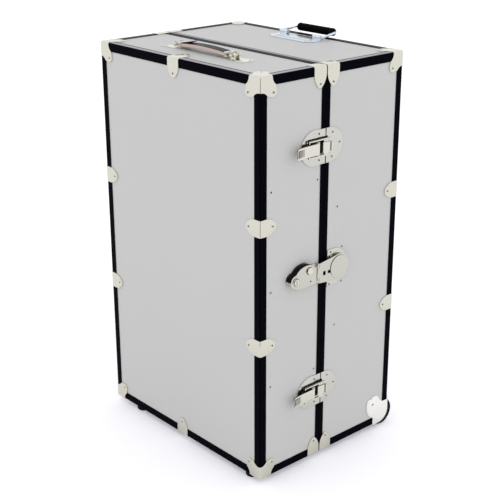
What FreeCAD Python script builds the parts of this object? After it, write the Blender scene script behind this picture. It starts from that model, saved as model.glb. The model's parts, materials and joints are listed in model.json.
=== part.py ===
import FreeCAD, Part
import math
import os

# Upright wardrobe trunk: a drawer half (left, -X) and a hanging half (right, +X), hinged at the
# back. +Z is up, -Y is the latch face. Everything is laid out round the middle of the box and moved
# at the end, so that the origin is on the floor under the middle of the overall size.
# All sizes are in millimetres.

# ---------------------------------------------------------------- driving dimensions: box
box_width = 471.0
box_depth = 608.0
box_height = 1016.0
foot_height = 14.0
drawer_half_width = 206.5       # left side to the seam
seam_gap = 1.0
board = 9.0                     # laminated plywood
sheet = 1.5                     # black edge trim, and how far it stands proud of the boards
trim_leg = 20.5                 # legs of the upright trims, and the flat legs of the others
rail_leg = 22.0                 # legs of the lying trims on the upright faces
trim_round = 3.5
seam_leg = 13.3
fit = 0.2                       # joint between fixed sheet pieces
run = 0.4                       # side clearance of moving pieces
bore_gap = 0.05                 # radial clearance of every pin in its bore

# ---------------------------------------------------------------- driving dimensions: fittings
cap_sheet = 1.5                 # nickelled fittings over the trims
cap_round = 4.5
cap_reach = 36.0                # of a corner cap along the edges
cap_hollow = 1.2                # how much further it reaches half way over a trim
lobe_offset = 38.5              # rivet of a corner cap, from both edges
lobe_radius = 9.5
clamp_half = 21.0               # edge clamps
clamp_rivet = 38.0              # rivet of an edge clamp, from the edge
clamp_nose = 10.5               # from the rivet to the tip
clamp_cheek = 11.0              # half the width of the round end
drawer_clamp_insets = (361.0, 352.0)    # from the bottom, and from the top
hanging_clamp_insets = (353.5, 350.5)
side_clamp_y = 4.0
seam_clamp_width = 39.5
seam_clamp_inset = 1.0
seam_clamp_drop = 41.0          # rivet of a seam clamp, from the edge
seam_clamp_nose = 10.0          # from the rivet to the tip
seam_clamp_shoulder = 18.0      # where its sides start to curve
rivet_radius = 3.4
rivet_height = 1.3

# ---------------------------------------------------------------- driving dimensions: feet, wheels
foot_radius = 19.0
foot_inset = 23.5               # centre, from the left side
foot_front_inset = 51.0
foot_back_inset = 94.0
seam_foot_inset = 41.0          # centre, from the seam
wheel_radius = 38.0
wheel_width = 22.0
wheel_overhang = 23.5           # past the right side
wheel_inset = 4.2               # outer face of the wheel behind the front or back of the box
wheel_gap = 2.0                 # to the inner wall of its well
well_gap = 4.5                  # round the tread
well_skin = 1.9                 # layer of the board left in front of the wheel
wheel_dish = 5.0
wheel_tread = 9.0
wheel_boss = 7.0
plate_outer = 34.0              # round outer corner of the wheel corner plate
plate_along = 58.0              # end of the plate on the bottom edge, from the side
plate_up = 60.0                 # top of the plate on the upright edge
plate_reach = 82.0              # its outer lobe, from the side
plate_lobe = 50.0               # its upper lobe, from the side
plate_lobe_rise = 26.5          # over plate_up
plate_notch = 67.0              # between the lobes, from the side
plate_notch_rise = 20.5
plate_rivet = 60.5
plate_strap_reach = 25.8        # past the well
plate_strap_margin = 4.5        # over the well
axle_radius = 5.0
well_sheet = 1.5

# ---------------------------------------------------------------- driving dimensions: latches
latch_heights = (187.5, 825.5)  # above the bottom of the box
latch_plate = 1.5
latch_half = 42.5
latch_plate_reach = 81.0        # drawer side plate, from the seam
latch_window = (8.0, 23.5)      # cut-out under the claw, from the seam
latch_window_half = 12.5
catch_reach = 57.0
lever_pivot = 34.0              # from the seam
lever_half = 13.5
lever_end = 75.0                # where the thumb tab starts, from the seam
lever_face = 14.0               # proud of the trims
tab_reach = 109.0
tab_lift = 20.5
tab_round = 5.0                 # corners of the thumb tab
link_pin = 61.0                 # from the seam
link_wire = 2.5
link_spread = 19.5
axis_proud = 8.0
pin_radius = 2.5
ear = 2.0
claw_left = 18.0                # left and right of the seam
claw_right = 5.0
claw_depth = 12.0
claw_gap = 1.4                  # to the ridge, which the claw passes on an arc
hasp_axis = 22.5                # from the seam
hasp_proud = 6.0
hasp_barrel = 4.5
hasp_rise = 24.0                # of its arm at the barrel, over the middle of the lock
hasp_fall = 27.0
knuckle_hasp = 14.0             # half the middle knuckle
knuckle_end = 25.0              # half the whole barrel
hasp_sheet = 3.0
hasp_disc = 34.5
hasp_disc_x = 46.5              # disc centre, right of the seam
hasp_window = (-8.5, 0.5)       # cut-outs of the hasp, right of the seam
hasp_slot = (8.0, 22.0)
hasp_window_half = 5.5
hasp_slot_half = 4.0
hasp_slot_drop = 4.5            # middle of both, under the middle of the lock
keeper_start = 15.0             # right of the seam
keeper_rise = 47.5
keeper_drop = 50.0
keeper_step = 34.0              # where the keeper's round end starts, from the seam
keeper_end = 37.0               # past the disc centre
plate_start = 1.5               # fixed plates beside the seam
lock_height = 511.0             # above the bottom of the box
case_depth = 16.0
case_end = 36.0                 # left of the seam
case_half = 21.5                # at the hinge
case_crown = 34.0               # highest point of its upper edge
case_crown_x = 68.0
case_brow = 14.0                # from the crown to where the upper edge falls to the hinge
case_slope = 13.0               # from the crown to where it falls to the nose
case_belly = 16.0               # from the boss to where the lower edge turns up
case_swell = 1.0                # how much its long curves bulge
case_edge = 1.2                 # rounding of its outer edge
case_nose = 17.5                # radius of its round end
boss_x = 104.5                  # middle of the round end and of the key cylinder
boss_radius = 11.5
boss_proud = 1.6                # over the case
cylinder_radius = 8.0
cylinder_proud = 1.2            # over the boss
button_radius = 8.5
button_x = 60.5
button_rise = 18.0
button_travel = 3.0
button_rim = 1.0                # over the case when pressed
case_rivet = (56.5, -10.0)

# ---------------------------------------------------------------- driving dimensions: hinges
hinge_inset = 150.0             # upper and lower hinge, from the ends of the box
hinge_half = 30.0
hinge_reach = 38.0
hinge_sheet = 2.0
hinge_barrel = 4.5
hinge_axis_proud = 7.2

# ---------------------------------------------------------------- driving dimensions: handles
carry_inset = 100.0             # middle of the handle, from the left side
strap_length = 178.0
strap_width = 27.0
strap_thick = 9.5
strap_rise = 4.5
strap_clear = 4.5               # under the ends of the strap
end_cap_length = 7.0
end_cap_wall = 1.6
carry_pin_radius = 2.5
carry_pin_y = 106.0
tongue_half = 6.0               # of the tongue that holds the pin
tongue_rise = 3.6
carry_head = 4.0                # balls at the ends of the pin
carry_head_x = 14.0
carry_lift = 3.0
carry_ear_margin = 4.5          # of the ears over the lifted pin
carry_plate = 1.5
carry_plate_half = 22.0
carry_plate_end = 155.0
carry_plate_start = 95.0
tow_y = 4.0                     # middle of the tow handle
tow_plate_left = 99.0           # from the right side
tow_plate_right = 36.0
tow_plate_half = 81.0
tow_plate_chamfer = 19.0
tow_sheet = 2.5
tow_axis_inset = 49.0
tow_axis_rise = 7.0             # over the top of the trims
tow_arm = 57.0
tow_half = 76.0
tow_wire = 3.0
tow_knuckle = 5.5
tow_knuckle_length = 26.0
tow_ridge_half = 60.0
grip_radius = 10.5
grip_length = 128.0
grip_rise = 5.5

# ---------------------------------------------------------------- driving dimensions: inside
runner_heights = (249.0, 498.0, 746.0)  # above the bottom of the box
runner_rivet_left = 35.0        # from the left side
runner_rivet_seam = 22.5        # from the seam
runner_leg = 16.0
runner_sheet = 2.0
runner_end = 12.0
drawer_board = 8.0
drawer_front_board = 12.0
drawer_bottom = 5.0
drawer_side_gap = 3.0
drawer_front_gap = 2.0
drawer_setback = 5.0
drawer_back_gap = 6.0
drawer_side_drop = 12.0         # sides below the top of the front
drawer_space = 9.0              # open height over each drawer
top_drawer_gap = 81.3           # open height from the top drawer to the top board
pull_width = 84.0
pull_thick = 7.0
pull_depth = 15.0
pull_post = 4.0
rail_radius = 9.5
rail_drop = 38.0                # centre under the top board
rail_seam_inset = 20.0
socket_wall = 5.0
socket_length = 8.0
bracket_sheet = 3.0
bracket_inset = 4.0             # from the end of the rail
bracket_width = 14.0
bracket_half = 13.0
bracket_foot = 30.0
hanger_half = 213.0
hanger_thick = 9.0
hanger_pitch = 27.0
hanger_first = 22.0             # from the side board
hanger_count = 3
hanger_swing_gap = 0.3
anchor_sheet = 1.0
anchor_half_width = 9.0
anchor_half = 26.0
anchor_slot_half = 6.0
anchor_slot = 4.0
anchor_slot_middle = 16.0       # from the middle of the anchor
anchor_rivets = (350.0, 664.0)  # above the bottom of the box
anchor_x = 47.0                 # from the seam
lock_rivets = (463.5, 556.0)
lock_rivet_x = 67.5

# ---------------------------------------------------------------- places worked out from them
left = -box_width / 2
right = box_width / 2
front = -box_depth / 2
back = box_depth / 2
bottom = foot_height
top = foot_height + box_height
seam = left + drawer_half_width
wall = sheet + board            # outside of the trims to the inside of the boards
V = FreeCAD.Vector


# ---------------------------------------------------------------- shape helpers
def block(xa, xb, ya, yb, za, zb):
    """A box between two corners, given in any order."""
    low = V(min(xa, xb), min(ya, yb), min(za, zb))
    high = V(max(xa, xb), max(ya, yb), max(za, zb))
    size = high - low
    return Part.makeBox(size.x, size.y, size.z, low)


def rod(radius, start, end):
    """A round bar between two points."""
    start, end = V(*start), V(*end)
    return Part.makeCylinder(radius, (end - start).Length, start, end - start)


def eased(shape, level, radius):
    """Rounds the edges that lie in the plane y = level."""
    flat = [e for e in shape.Edges if abs(e.BoundBox.YMin - level) < 0.01 and e.BoundBox.YLength < 0.01]
    return shape.makeFillet(radius, flat)


def joined(shapes):
    """One solid from shapes that touch."""
    whole = shapes[0].fuse(list(shapes[1:])) if len(shapes) > 1 else shapes[0]
    return whole.removeSplitter()


class Place:
    """A flat datum: a corner point, two directions along the face, and the direction out of it."""

    def __init__(self, corner, along, across, out):
        self.corner, self.along, self.across, self.out = V(*corner), V(*along), V(*across), V(*out)

    def point(self, u, v, n=0.0):
        return self.corner + self.along * u + self.across * v + self.out * n

    def plate(self, start, steps, low, high):
        """A plate with that outline between two levels. A step is a point, or (through, end) of an arc."""
        edges = []
        here = start
        for step in list(steps) + [start]:
            if isinstance(step[0], tuple):
                through, end = step
                points = [self.point(*p, low) for p in (here, through, end)]
                edges.append(Part.Arc(*points).toShape())
                here = end
            elif math.dist(here, step) > 1e-6:
                edges.append(Part.makeLine(self.point(*here, low), self.point(*step, low)))
                here = step
        face = Part.Face(Part.Wire(edges))
        return face.extrude(self.out * (high - low))

    def disc(self, u, v, radius, low, high):
        return rod(radius, tuple(self.point(u, v, low)), tuple(self.point(u, v, high)))

    def rivet(self, u, v, level, radius=rivet_radius, height=rivet_height):
        """A domed head that stands on the level: a cap cut from a ball."""
        ball = (radius ** 2 + height ** 2) / (2 * height)
        low = math.degrees(math.asin((ball - height) / ball))
        middle = self.point(u, v, level + height - ball)
        return Part.makeSphere(ball, middle, self.out, low, 90, 360)


front_face = Place((0, front, 0), (1, 0, 0), (0, 0, 1), (0, -1, 0))
back_face = Place((0, back, 0), (1, 0, 0), (0, 0, 1), (0, 1, 0))
top_face = Place((0, 0, top), (1, 0, 0), (0, 1, 0), (0, 0, 1))


def envelope():
    """The outside of the fittings: the box grown by their sheet, with rounded edges."""
    grown = block(
        left - cap_sheet, right + cap_sheet, front - cap_sheet, back + cap_sheet,
        bottom - cap_sheet, top + cap_sheet,
    )
    return grown.makeFillet(cap_round + cap_sheet, grown.Edges)


nodes = {}


def keep(name, shapes):
    """Stores a node: one solid, or several that stay separate."""
    solids = [solid for shape in shapes for solid in shape.Solids]
    nodes[name] = solids


# ---------------------------------------------------------------- the two half shells
class Half:
    """One half shell. inward is the direction from its outer side to the seam, along X."""

    def __init__(self, name, outer, inward):
        self.name, self.outer, self.inward = name, outer, inward
        self.rim = seam - inward * seam_gap / 2
        self.board_rim = self.rim - inward * sheet
        self.side_inside = outer + inward * wall

    def boards(self, cuts):
        rim, inside, outer = self.board_rim, self.side_inside, self.outer + self.inward * sheet
        ys = (front + sheet, back - sheet)
        zs = (bottom + sheet, top - sheet)
        low, high = bottom + wall, top - wall
        made = {
            "side_panel": block(outer, inside, *ys, *zs),
            "top_panel": block(inside, rim, *ys, high, zs[1]),
            "bottom_panel": block(inside, rim, *ys, zs[0], low),
            "front_panel": block(inside, rim, ys[0], front + wall, low, high),
            "back_panel": block(inside, rim, ys[1], back - wall, low, high),
        }
        for piece, shape in made.items():
            keep(f"{self.name}_{piece}", [shape.cut(cuts) if cuts else shape])

    def edge_trim(self, place, across_leg, start, end):
        """An angle along place.out, its two legs along place.along and place.across."""
        mid = trim_round * (1 - math.sqrt(0.5))
        steps = [
            (trim_leg, 0.0), (trim_leg, sheet), (sheet, sheet), (sheet, across_leg),
            (0.0, across_leg), (0.0, trim_round), ((mid, mid), (trim_round, 0.0)),
        ]
        return place.plate((trim_round, 0.0), steps, start, end)

    def trims(self, bottom_start, post_start, side_start):
        """Eight edge angles and four seam angles. The starts are where the lower ones begin."""
        k = self.inward
        clear = trim_leg + fit
        rail_clear = rail_leg + fit
        made = []
        for y, s in ((front, 1), (back, -1)):
            post = Place((self.outer, y, 0), (k, 0, 0), (0, s, 0), (0, 0, 1))
            made.append(self.edge_trim(post, trim_leg, bottom + post_start, top - rail_clear))
            for z, up, start in ((bottom, 1, bottom_start), (top, -1, clear)):
                rail = Place((0, y, z), (0, s, 0), (0, 0, up), (k, 0, 0))
                made.append(self.edge_trim(rail, rail_leg, k * self.outer + start, k * self.rim))
        for z, up, start in ((bottom, 1, side_start), (top, -1, clear)):
            side = Place((self.outer, 0, z), (k, 0, 0), (0, 0, up), (0, 1, 0))
            made.append(self.edge_trim(side, rail_leg, front + start, back - start))
        rim_leg = (self.rim, self.board_rim)
        seam_outer = (self.rim, self.rim - k * seam_leg)
        for y, s in ((front, 1), (back, -1)):
            outer_leg = block(*seam_outer, y, y + s * sheet, bottom + rail_clear, top - rail_clear)
            cover = block(*rim_leg, y + s * sheet, y + s * wall, bottom + sheet, top - sheet)
            made.append(joined([outer_leg, cover]))
        for z, up in ((bottom, 1), (top, -1)):
            outer_leg = block(*seam_outer, front + clear, back - clear, z, z + up * sheet)
            cover = block(*rim_leg, front + wall, back - wall, z + up * sheet, z + up * wall)
            made.append(joined([outer_leg, cover]))
        return made

    def faces_at(self, y, z):
        """The front or back, side, and top or bottom datum at one outer corner."""
        k = self.inward
        s = 1 if y == front else -1
        up = 1 if z == bottom else -1
        corner = (self.outer, y, z)
        broad = Place(corner, (k, 0, 0), (0, 0, up), (0, -s, 0))
        side = Place(corner, (0, s, 0), (0, 0, up), (-k, 0, 0))
        flat = Place(corner, (k, 0, 0), (0, s, 0), (0, 0, -up))
        return broad, side, flat

    def corner_cap(self, y, z):
        """A three-lobed pressed cap and its three rivets."""
        faces = self.faces_at(y, z)
        rivets = [p.rivet(lobe_offset, lobe_offset, cap_sheet) for p in faces]
        return joined([lobed_wing(p) for p in faces]), rivets

    def post_clamp(self, y, z):
        """A clamp round a vertical edge."""
        broad, side, _ = self.faces_at(y, bottom)
        shape = joined([clamp_wing(p, z - bottom) for p in (broad, side)])
        return shape, [p.rivet(clamp_rivet, z - bottom, cap_sheet) for p in (broad, side)]

    def side_clamp(self, z):
        """A clamp over the long top or bottom edge of the side."""
        _, side, flat = self.faces_at(front, z)
        turned_side = Place(tuple(side.corner), tuple(side.across), tuple(side.along), tuple(side.out))
        along = side_clamp_y - front
        shape = joined([clamp_wing(p, along) for p in (turned_side, flat)])
        return shape, [p.rivet(clamp_rivet, along, cap_sheet) for p in (turned_side, flat)]

    def seam_clamp(self, y, z):
        """One of a pair of shield-shaped clamps beside the seam."""
        k = self.inward
        s = 1 if y == front else -1
        up = 1 if z == bottom else -1
        start = (self.rim, y, z)
        face = Place(start, (-k, 0, 0), (0, 0, up), (0, -s, 0))
        flat = Place(start, (-k, 0, 0), (0, s, 0), (0, 0, -up))
        near = seam_clamp_inset
        far = near + seam_clamp_width
        middle = (near + far) / 2
        tip = seam_clamp_drop + seam_clamp_nose
        cheek = seam_clamp_width * 0.14
        shield = face.plate(
            (near, -cap_sheet),
            [
                (far, -cap_sheet), (far, seam_clamp_shoulder),
                ((far - cheek, seam_clamp_drop - 3.0), (middle + cheek, tip - 2.0)),
                ((middle, tip), (middle - cheek, tip - 2.0)),
                ((near + cheek, seam_clamp_drop - 3.0), (near, seam_clamp_shoulder)),
            ],
            -sheet, cap_sheet,
        )
        lap = trim_leg + 5.0
        over = flat.plate((near, -cap_sheet), [(far, -cap_sheet), (far, lap), (near, lap)], -sheet, cap_sheet)
        return joined([shield, over]), [face.rivet(middle, seam_clamp_drop, cap_sheet)]


def lobed_wing(place):
    """One face of a corner cap: a lobe on the diagonal, with hollows over the two trims."""
    corner = lobe_offset + lobe_radius * math.sqrt(0.5)
    far = lobe_offset + lobe_radius
    near = far - 1.5
    lip = rail_leg - 0.5
    hollow = (cap_reach + cap_hollow, trim_leg / 2)
    steps = [
        (cap_reach, -cap_sheet), (cap_reach, 0.0),
        (hollow, (near, lip)),
        (far, lobe_offset - lobe_radius / 2),
        ((corner, corner), (lobe_offset - lobe_radius / 2, far)),
        (lip, near),
        ((hollow[1], hollow[0]), (0.0, cap_reach)),
        (-cap_sheet, cap_reach),
    ]
    return place.plate((-cap_sheet, -cap_sheet), steps, -sheet, cap_sheet)


def clamp_wing(place, middle):
    """One face of an edge clamp: square over the trim, then rounded in to the rivet."""
    lip = rail_leg - 0.5
    cheek = (clamp_rivet + 4.0, clamp_cheek)
    shoulder = ((lip + cheek[0]) / 2 + 1.0, (clamp_half + cheek[1]) / 2 + 1.5)
    tip = clamp_rivet + clamp_nose
    steps = [
        (lip, middle + clamp_half),
        ((shoulder[0], middle + shoulder[1]), (cheek[0], middle + cheek[1])),
        ((tip, middle), (cheek[0], middle - cheek[1])),
        ((shoulder[0], middle - shoulder[1]), (lip, middle - clamp_half)),
        (-cap_sheet, middle - clamp_half),
    ]
    return place.plate((-cap_sheet, middle + clamp_half), steps, -sheet, cap_sheet)


drawer_half = Half("drawer", left, 1)
hanging_half = Half("hanging", right, -1)

# ---------------------------------------------------------------- wheels, wells and corner plates
wheel_x = right + wheel_overhang - wheel_radius
wheel_z = wheel_radius
well_left = wheel_x - wheel_radius - well_gap
well_top = wheel_z + wheel_radius + well_gap
well_depth = wheel_inset + wheel_width + wheel_gap


def wheel_corner(y):
    """The well, corner plate, axle, wheel, rivets and board cut-out of one wheel."""
    s = 1 if y == front else -1
    outside = y + s * (sheet + well_skin)
    deep = y + s * well_depth
    liner = deep + s * well_sheet
    cut = block(well_left - well_sheet, right, outside, liner, bottom, well_top + well_sheet)
    wall_plate = block(well_left - well_sheet, right - sheet, deep, liner, bottom + sheet, well_top)
    roof = block(well_left - well_sheet, right - sheet, outside, liner, well_top, well_top + well_sheet)
    end = block(well_left - well_sheet, well_left, outside, liner, bottom + sheet, well_top)
    corner = block(right - plate_outer, right, y, outside, bottom, bottom + plate_outer)
    corner = corner.cut(rod(plate_outer, (right - plate_outer, y, bottom + plate_outer),
                            (right - plate_outer, outside, bottom + plate_outer)))
    axle = rod(axle_radius, (wheel_x, outside, wheel_z), (wheel_x, liner, wheel_z))
    well = joined([wall_plate, roof, end]).cut(axle)
    broad, side, _ = hanging_half.faces_at(y, bottom)
    round_mid = plate_outer * (1 - math.sqrt(0.5))
    peak = plate_up + plate_lobe_rise
    notch = (plate_notch, plate_up + plate_notch_rise)
    outline = [
        ((round_mid, round_mid), (0.0, plate_outer)),
        (0.0, plate_up), (trim_leg, plate_up + 1.0),
        ((plate_lobe - 20.0, plate_up + 7.0), (plate_lobe - 11.0, peak - 6.0)),
        ((plate_lobe, peak), (plate_lobe + 12.0, peak - 2.0)),
        notch,
        ((plate_reach - 4.0, notch[1] + 0.5), (plate_reach, plate_up + 12.0)),
        ((plate_reach + 1.5, plate_up), (plate_reach - 1.0, plate_up - 13.0)),
        ((plate_along + 15.0, rail_leg + 11.0), (plate_along, rail_leg + 1.5)),
        (plate_along, 0.0),
    ]
    shield = broad.plate((plate_outer, 0.0), outline, -sheet, cap_sheet)
    depth = well_depth + well_sheet
    opening_top = well_top - bottom - well_gap
    strap_top = well_top - bottom + well_sheet + plate_strap_margin
    strap_end = depth + plate_strap_reach
    strap = side.plate(
        (0.0, plate_up),
        [
            (0.0, strap_top), (strap_end - 9.8, strap_top),
            ((strap_end - 2.9, strap_top - 2.9), (strap_end, strap_top - 9.8)),
            (strap_end, plate_outer), (depth + 1.0, plate_outer), (depth + 1.0, opening_top),
            (3.6, opening_top), (3.6, plate_up),
        ],
        -sheet, cap_sheet,
    )
    near, far = y + s * wheel_inset, y + s * (wheel_inset + wheel_width)
    hub = rod(wheel_radius, (wheel_x, near, wheel_z), (wheel_x, far, wheel_z))
    hub = hub.makeFillet(4.0, [e for e in hub.Edges if e.BoundBox.YLength < 0.01])
    dishes = []
    for rim, floor in ((near, near + s * wheel_dish), (far, far - s * wheel_dish)):
        ends = (wheel_x, rim, wheel_z), (wheel_x, floor, wheel_z)
        dishes.append(rod(wheel_radius - wheel_tread, *ends).cut(rod(axle_radius + wheel_boss, *ends)))
    bore = rod(axle_radius + bore_gap, (wheel_x, y, wheel_z), (wheel_x, deep, wheel_z))
    wheel = hub.cut(dishes + [bore])
    rivets = [
        broad.rivet(plate_rivet, plate_up + 4.0, cap_sheet),
        side.rivet(depth + 13.0, strap_top - 10.0, cap_sheet),
        side.rivet(depth + 13.0, plate_outer + 9.0, cap_sheet),
    ]
    return [cut, corner], well, joined([shield, strap]), axle, wheel, rivets


front_wheel = wheel_corner(front)
back_wheel = wheel_corner(back)
wheel_cuts = front_wheel[0] + back_wheel[0]

# ---------------------------------------------------------------- boards, trims, caps, clamps
drawer_half.boards([])
hanging_half.boards(wheel_cuts)
clear_of_corner = trim_leg + fit
drawer_trims = drawer_half.trims(clear_of_corner, rail_leg + fit, clear_of_corner)
hanging_trims = hanging_half.trims(plate_along - 6.0, plate_up - 4.0, well_depth + well_sheet + 4.0)
hanging_trims = [trim.cut(wheel_cuts) for trim in hanging_trims]
skin = envelope()
fittings = {"drawer": [], "hanging": []}
rivet_heads = {"drawer": [], "hanging": []}


def add_fitting(half, made, trims):
    """Trims a fitting to the rounded outside and seats it on the edge trims."""
    shape, rivets = made
    near = [t for t in trims if t.BoundBox.intersect(shape.BoundBox)]
    rivet_heads[half.name] += rivets
    return shape.common(skin).cut(near)


caps, clamps = {}, {}
for half, trims, corners, insets in (
    (drawer_half, drawer_trims, (bottom, top), drawer_clamp_insets),
    (hanging_half, hanging_trims, (top,), hanging_clamp_insets),
):
    ys = (front, back)
    caps[half.name] = [add_fitting(half, half.corner_cap(y, z), trims) for y in ys for z in corners]
    heights = (bottom + insets[0], top - insets[1])
    set_of = [half.post_clamp(y, z) for y in ys for z in heights]
    set_of += [half.side_clamp(z) for z in ((bottom, top) if half is drawer_half else (bottom,))]
    set_of += [half.seam_clamp(y, z) for y in ys for z in (bottom, top)]
    clamps[half.name] = [add_fitting(half, made, trims) for made in set_of]

wheel_plates = []
for made in (front_wheel, back_wheel):
    plate = made[2].cut(hanging_trims)
    wheel_plates.append(plate)
    rivet_heads["hanging"] += made[5]

# ---------------------------------------------------------------- rivets through the boards
for face in (front_face, back_face):
    for height in runner_heights:
        hidden = abs(height - lock_height) < case_crown
        rivet_heads["drawer"].append(face.rivet(left + runner_rivet_left, bottom + height, -sheet))
        if not hidden:
            rivet_heads["drawer"].append(face.rivet(seam - runner_rivet_seam, bottom + height, -sheet))
    for height in anchor_rivets:
        rivet_heads["hanging"].append(face.rivet(seam + anchor_x, bottom + height, -sheet))
for height in lock_rivets:
    rivet_heads["hanging"].append(front_face.rivet(seam + lock_rivet_x, bottom + height, -sheet))


# ---------------------------------------------------------------- draw latches
def seated(shape, trims):
    """A fitting that spans the boards and the seam trims, cut round the trims."""
    near = [t for t in trims if t.BoundBox.intersect(shape.BoundBox)]
    return shape.cut(near) if near else shape


pivot_pins = []
latch_plates = []
latch_catches = []


def latch(height):
    """One draw latch: returns its lever and its link. Plates, catches and pins go to their nodes."""
    z = bottom + height
    at_seam = Place((seam, front, z), (-1, 0, 0), (0, 0, 1), (0, -1, 0))
    far_side = Place((seam, front, z), (1, 0, 0), (0, 0, 1), (0, -1, 0))
    start = plate_start
    reach = latch_plate_reach
    shape = at_seam.plate(
        (start, latch_half),
        [
            (start, -latch_half), (24.0, -latch_half),
            ((reach - 14.0, -31.0), (reach, -9.0)), (reach, 9.0), ((reach - 14.0, 31.0), (24.0, latch_half)),
        ],
        -sheet, latch_plate,
    )
    window = block(seam - latch_window[0], seam - latch_window[1], front + sheet, front - latch_plate,
                   z - latch_window_half, z + latch_window_half)
    shape = seated(shape.cut(window), drawer_trims)
    ears = []
    for way in (-1, 1):
        low = way * (lever_half + run)
        high = way * (lever_half + run + ear)
        profile = Place((seam, front, z), (-1, 0, 0), (0, -1, 0), (0, 0, 1))
        ears.append(profile.plate(
            (lever_pivot - 8.0, latch_plate),
            [
                (lever_pivot + 8.0, latch_plate), (lever_pivot + 6.0, axis_proud),
                ((lever_pivot, axis_proud + 6.0), (lever_pivot - 6.0, axis_proud)),
            ],
            low, high,
        ))
    pin_reach = lever_half + run + ear
    pin = rod(pin_radius, (seam - lever_pivot, front - axis_proud, z - pin_reach),
              (seam - lever_pivot, front - axis_proud, z + pin_reach))
    latch_plates.append(joined([shape] + ears).cut(pin))
    pivot_pins.append(pin)
    catch = far_side.plate(
        (start, latch_half),
        [
            (start, -latch_half), (14.0, -latch_half),
            ((catch_reach - 12.0, -28.0), (catch_reach, 0.0)),
            ((catch_reach - 12.0, 28.0), (14.0, latch_half)),
        ],
        -sheet, latch_plate,
    )
    catch = seated(catch, hanging_trims)
    keeper = far_side.plate(
        (claw_right + claw_gap, -10.0),
        [(claw_right + 7.0, -10.0), (claw_right + 7.0, 10.0), (claw_right + claw_gap, 10.0)],
        latch_plate, claw_depth - 3.0,
    )
    latch_catches.append(joined([catch, keeper]))
    for u, v in ((23.0, 33.0), (22.0, -31.5)):
        rivet_heads["drawer"].append(at_seam.rivet(u, v, latch_plate))
    for u, v in ((22.3, 29.7), (21.2, -29.7), (46.5, 1.8)):
        rivet_heads["hanging"].append(far_side.rivet(u, v, latch_plate))
    return lever_of(z), link_of(z)


def lever_of(z):
    """A folded channel that turns on the pin, with a ribbed thumb tab."""
    profile = Place((seam, front, z), (-1, 0, 0), (0, -1, 0), (0, 0, 1))
    r = lever_face - axis_proud
    nose = lever_pivot - r
    outline = [
        ((lever_pivot - r * 0.7071, lever_face - r * 0.2929), (lever_pivot, lever_face)),
        (lever_end, lever_face + 1.0),
        (((lever_end + tab_reach) / 2, (lever_face + tab_lift) / 2 - 0.7), (tab_reach, tab_lift)),
        (tab_reach - 1.0, tab_lift - 2.5),
        (((lever_end + tab_reach) / 2 - 0.5, (lever_face + tab_lift) / 2 - 3.6),
         (lever_end, lever_face - 3.0)),
        (lever_end - 2.0, axis_proud - 3.5),
        (lever_pivot, axis_proud - 5.0),
        ((lever_pivot - r * 0.66, axis_proud - r * 0.6), (nose, axis_proud)),
    ]
    body = profile.plate((nose, axis_proud), outline, -lever_half, lever_half)
    blank = block(seam - tab_reach, seam, front, front - tab_lift - 1.0, z - lever_half, z + lever_half)
    tip_edges = [e for e in blank.Edges if abs(e.CenterOfMass.x - seam + tab_reach) < 0.1]
    body = body.common(blank.makeFillet(tab_round, [e for e in tip_edges if e.BoundBox.YLength > 1.0]))
    hollow_half = lever_half - ear
    body = body.cut(block(seam - lever_end + 4.0, seam - lever_pivot - 7.0, front - lever_face + 2.0,
                          front, z - hollow_half, z + hollow_half))
    ribs = []
    for k in range(5):
        u = lever_end + 7.0 + 5.2 * k
        n = lever_face + 1.0 + 0.72 * k + 0.115 * k * k
        rib_half = lever_half - tab_round
        ribs.append(rod(1.3, (seam - u, front - n, z - rib_half), (seam - u, front - n, z + rib_half)))
    holes = [
        rod(radius + bore_gap, (seam - u, front - axis_proud, z - lever_half),
            (seam - u, front - axis_proud, z + lever_half))
        for u, radius in ((lever_pivot, pin_radius), (link_pin, link_wire))
    ]
    return joined([body] + ribs).cut(holes)


def link_of(z):
    """A wire loop whose ends turn in the lever, with the claw that reaches over the seam."""
    y = front - axis_proud
    tail = seam - link_pin
    head = seam - claw_left + 4.0
    parts = []
    for way in (-1, 1):
        side_z = z + way * link_spread
        inner_z = z + way * (lever_half - ear)
        parts.append(rod(link_wire, (tail, y, side_z), (seam + claw_right + 2.0, y, side_z)))
        parts.append(rod(link_wire, (tail, y, inner_z), (tail, y, side_z)))
        parts.append(Part.makeSphere(link_wire, V(tail, y, side_z)))
        parts.append(block(head, seam + claw_right - 1.0, y - 1.5, y + 1.5, z + way * 12.0, side_z))
    claw = block(seam - claw_left, seam + claw_right, front - claw_depth, front - latch_plate - 1.0,
                 z - lever_half, z + lever_half)
    claw = eased(claw, front - claw_depth, 2.0)
    lip = block(seam + claw_right - 1.0, seam + claw_right + 8.0, front - claw_depth,
                front - claw_depth + 2.4, z - 11.0, z + 11.0)
    return joined([claw, lip] + parts)


for name, height in zip(("lower", "upper"), latch_heights):
    lever, link = latch(height)
    keep(f"{name}_latch_lever", [lever])
    keep(f"{name}_latch_link", [link])

# ---------------------------------------------------------------- centre lock
lock_z = bottom + lock_height
lock_place = Place((seam, front, lock_z), (-1, 0, 0), (0, 0, 1), (0, -1, 0))
keeper_place = Place((seam, front, lock_z), (1, 0, 0), (0, 0, 1), (0, -1, 0))


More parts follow.
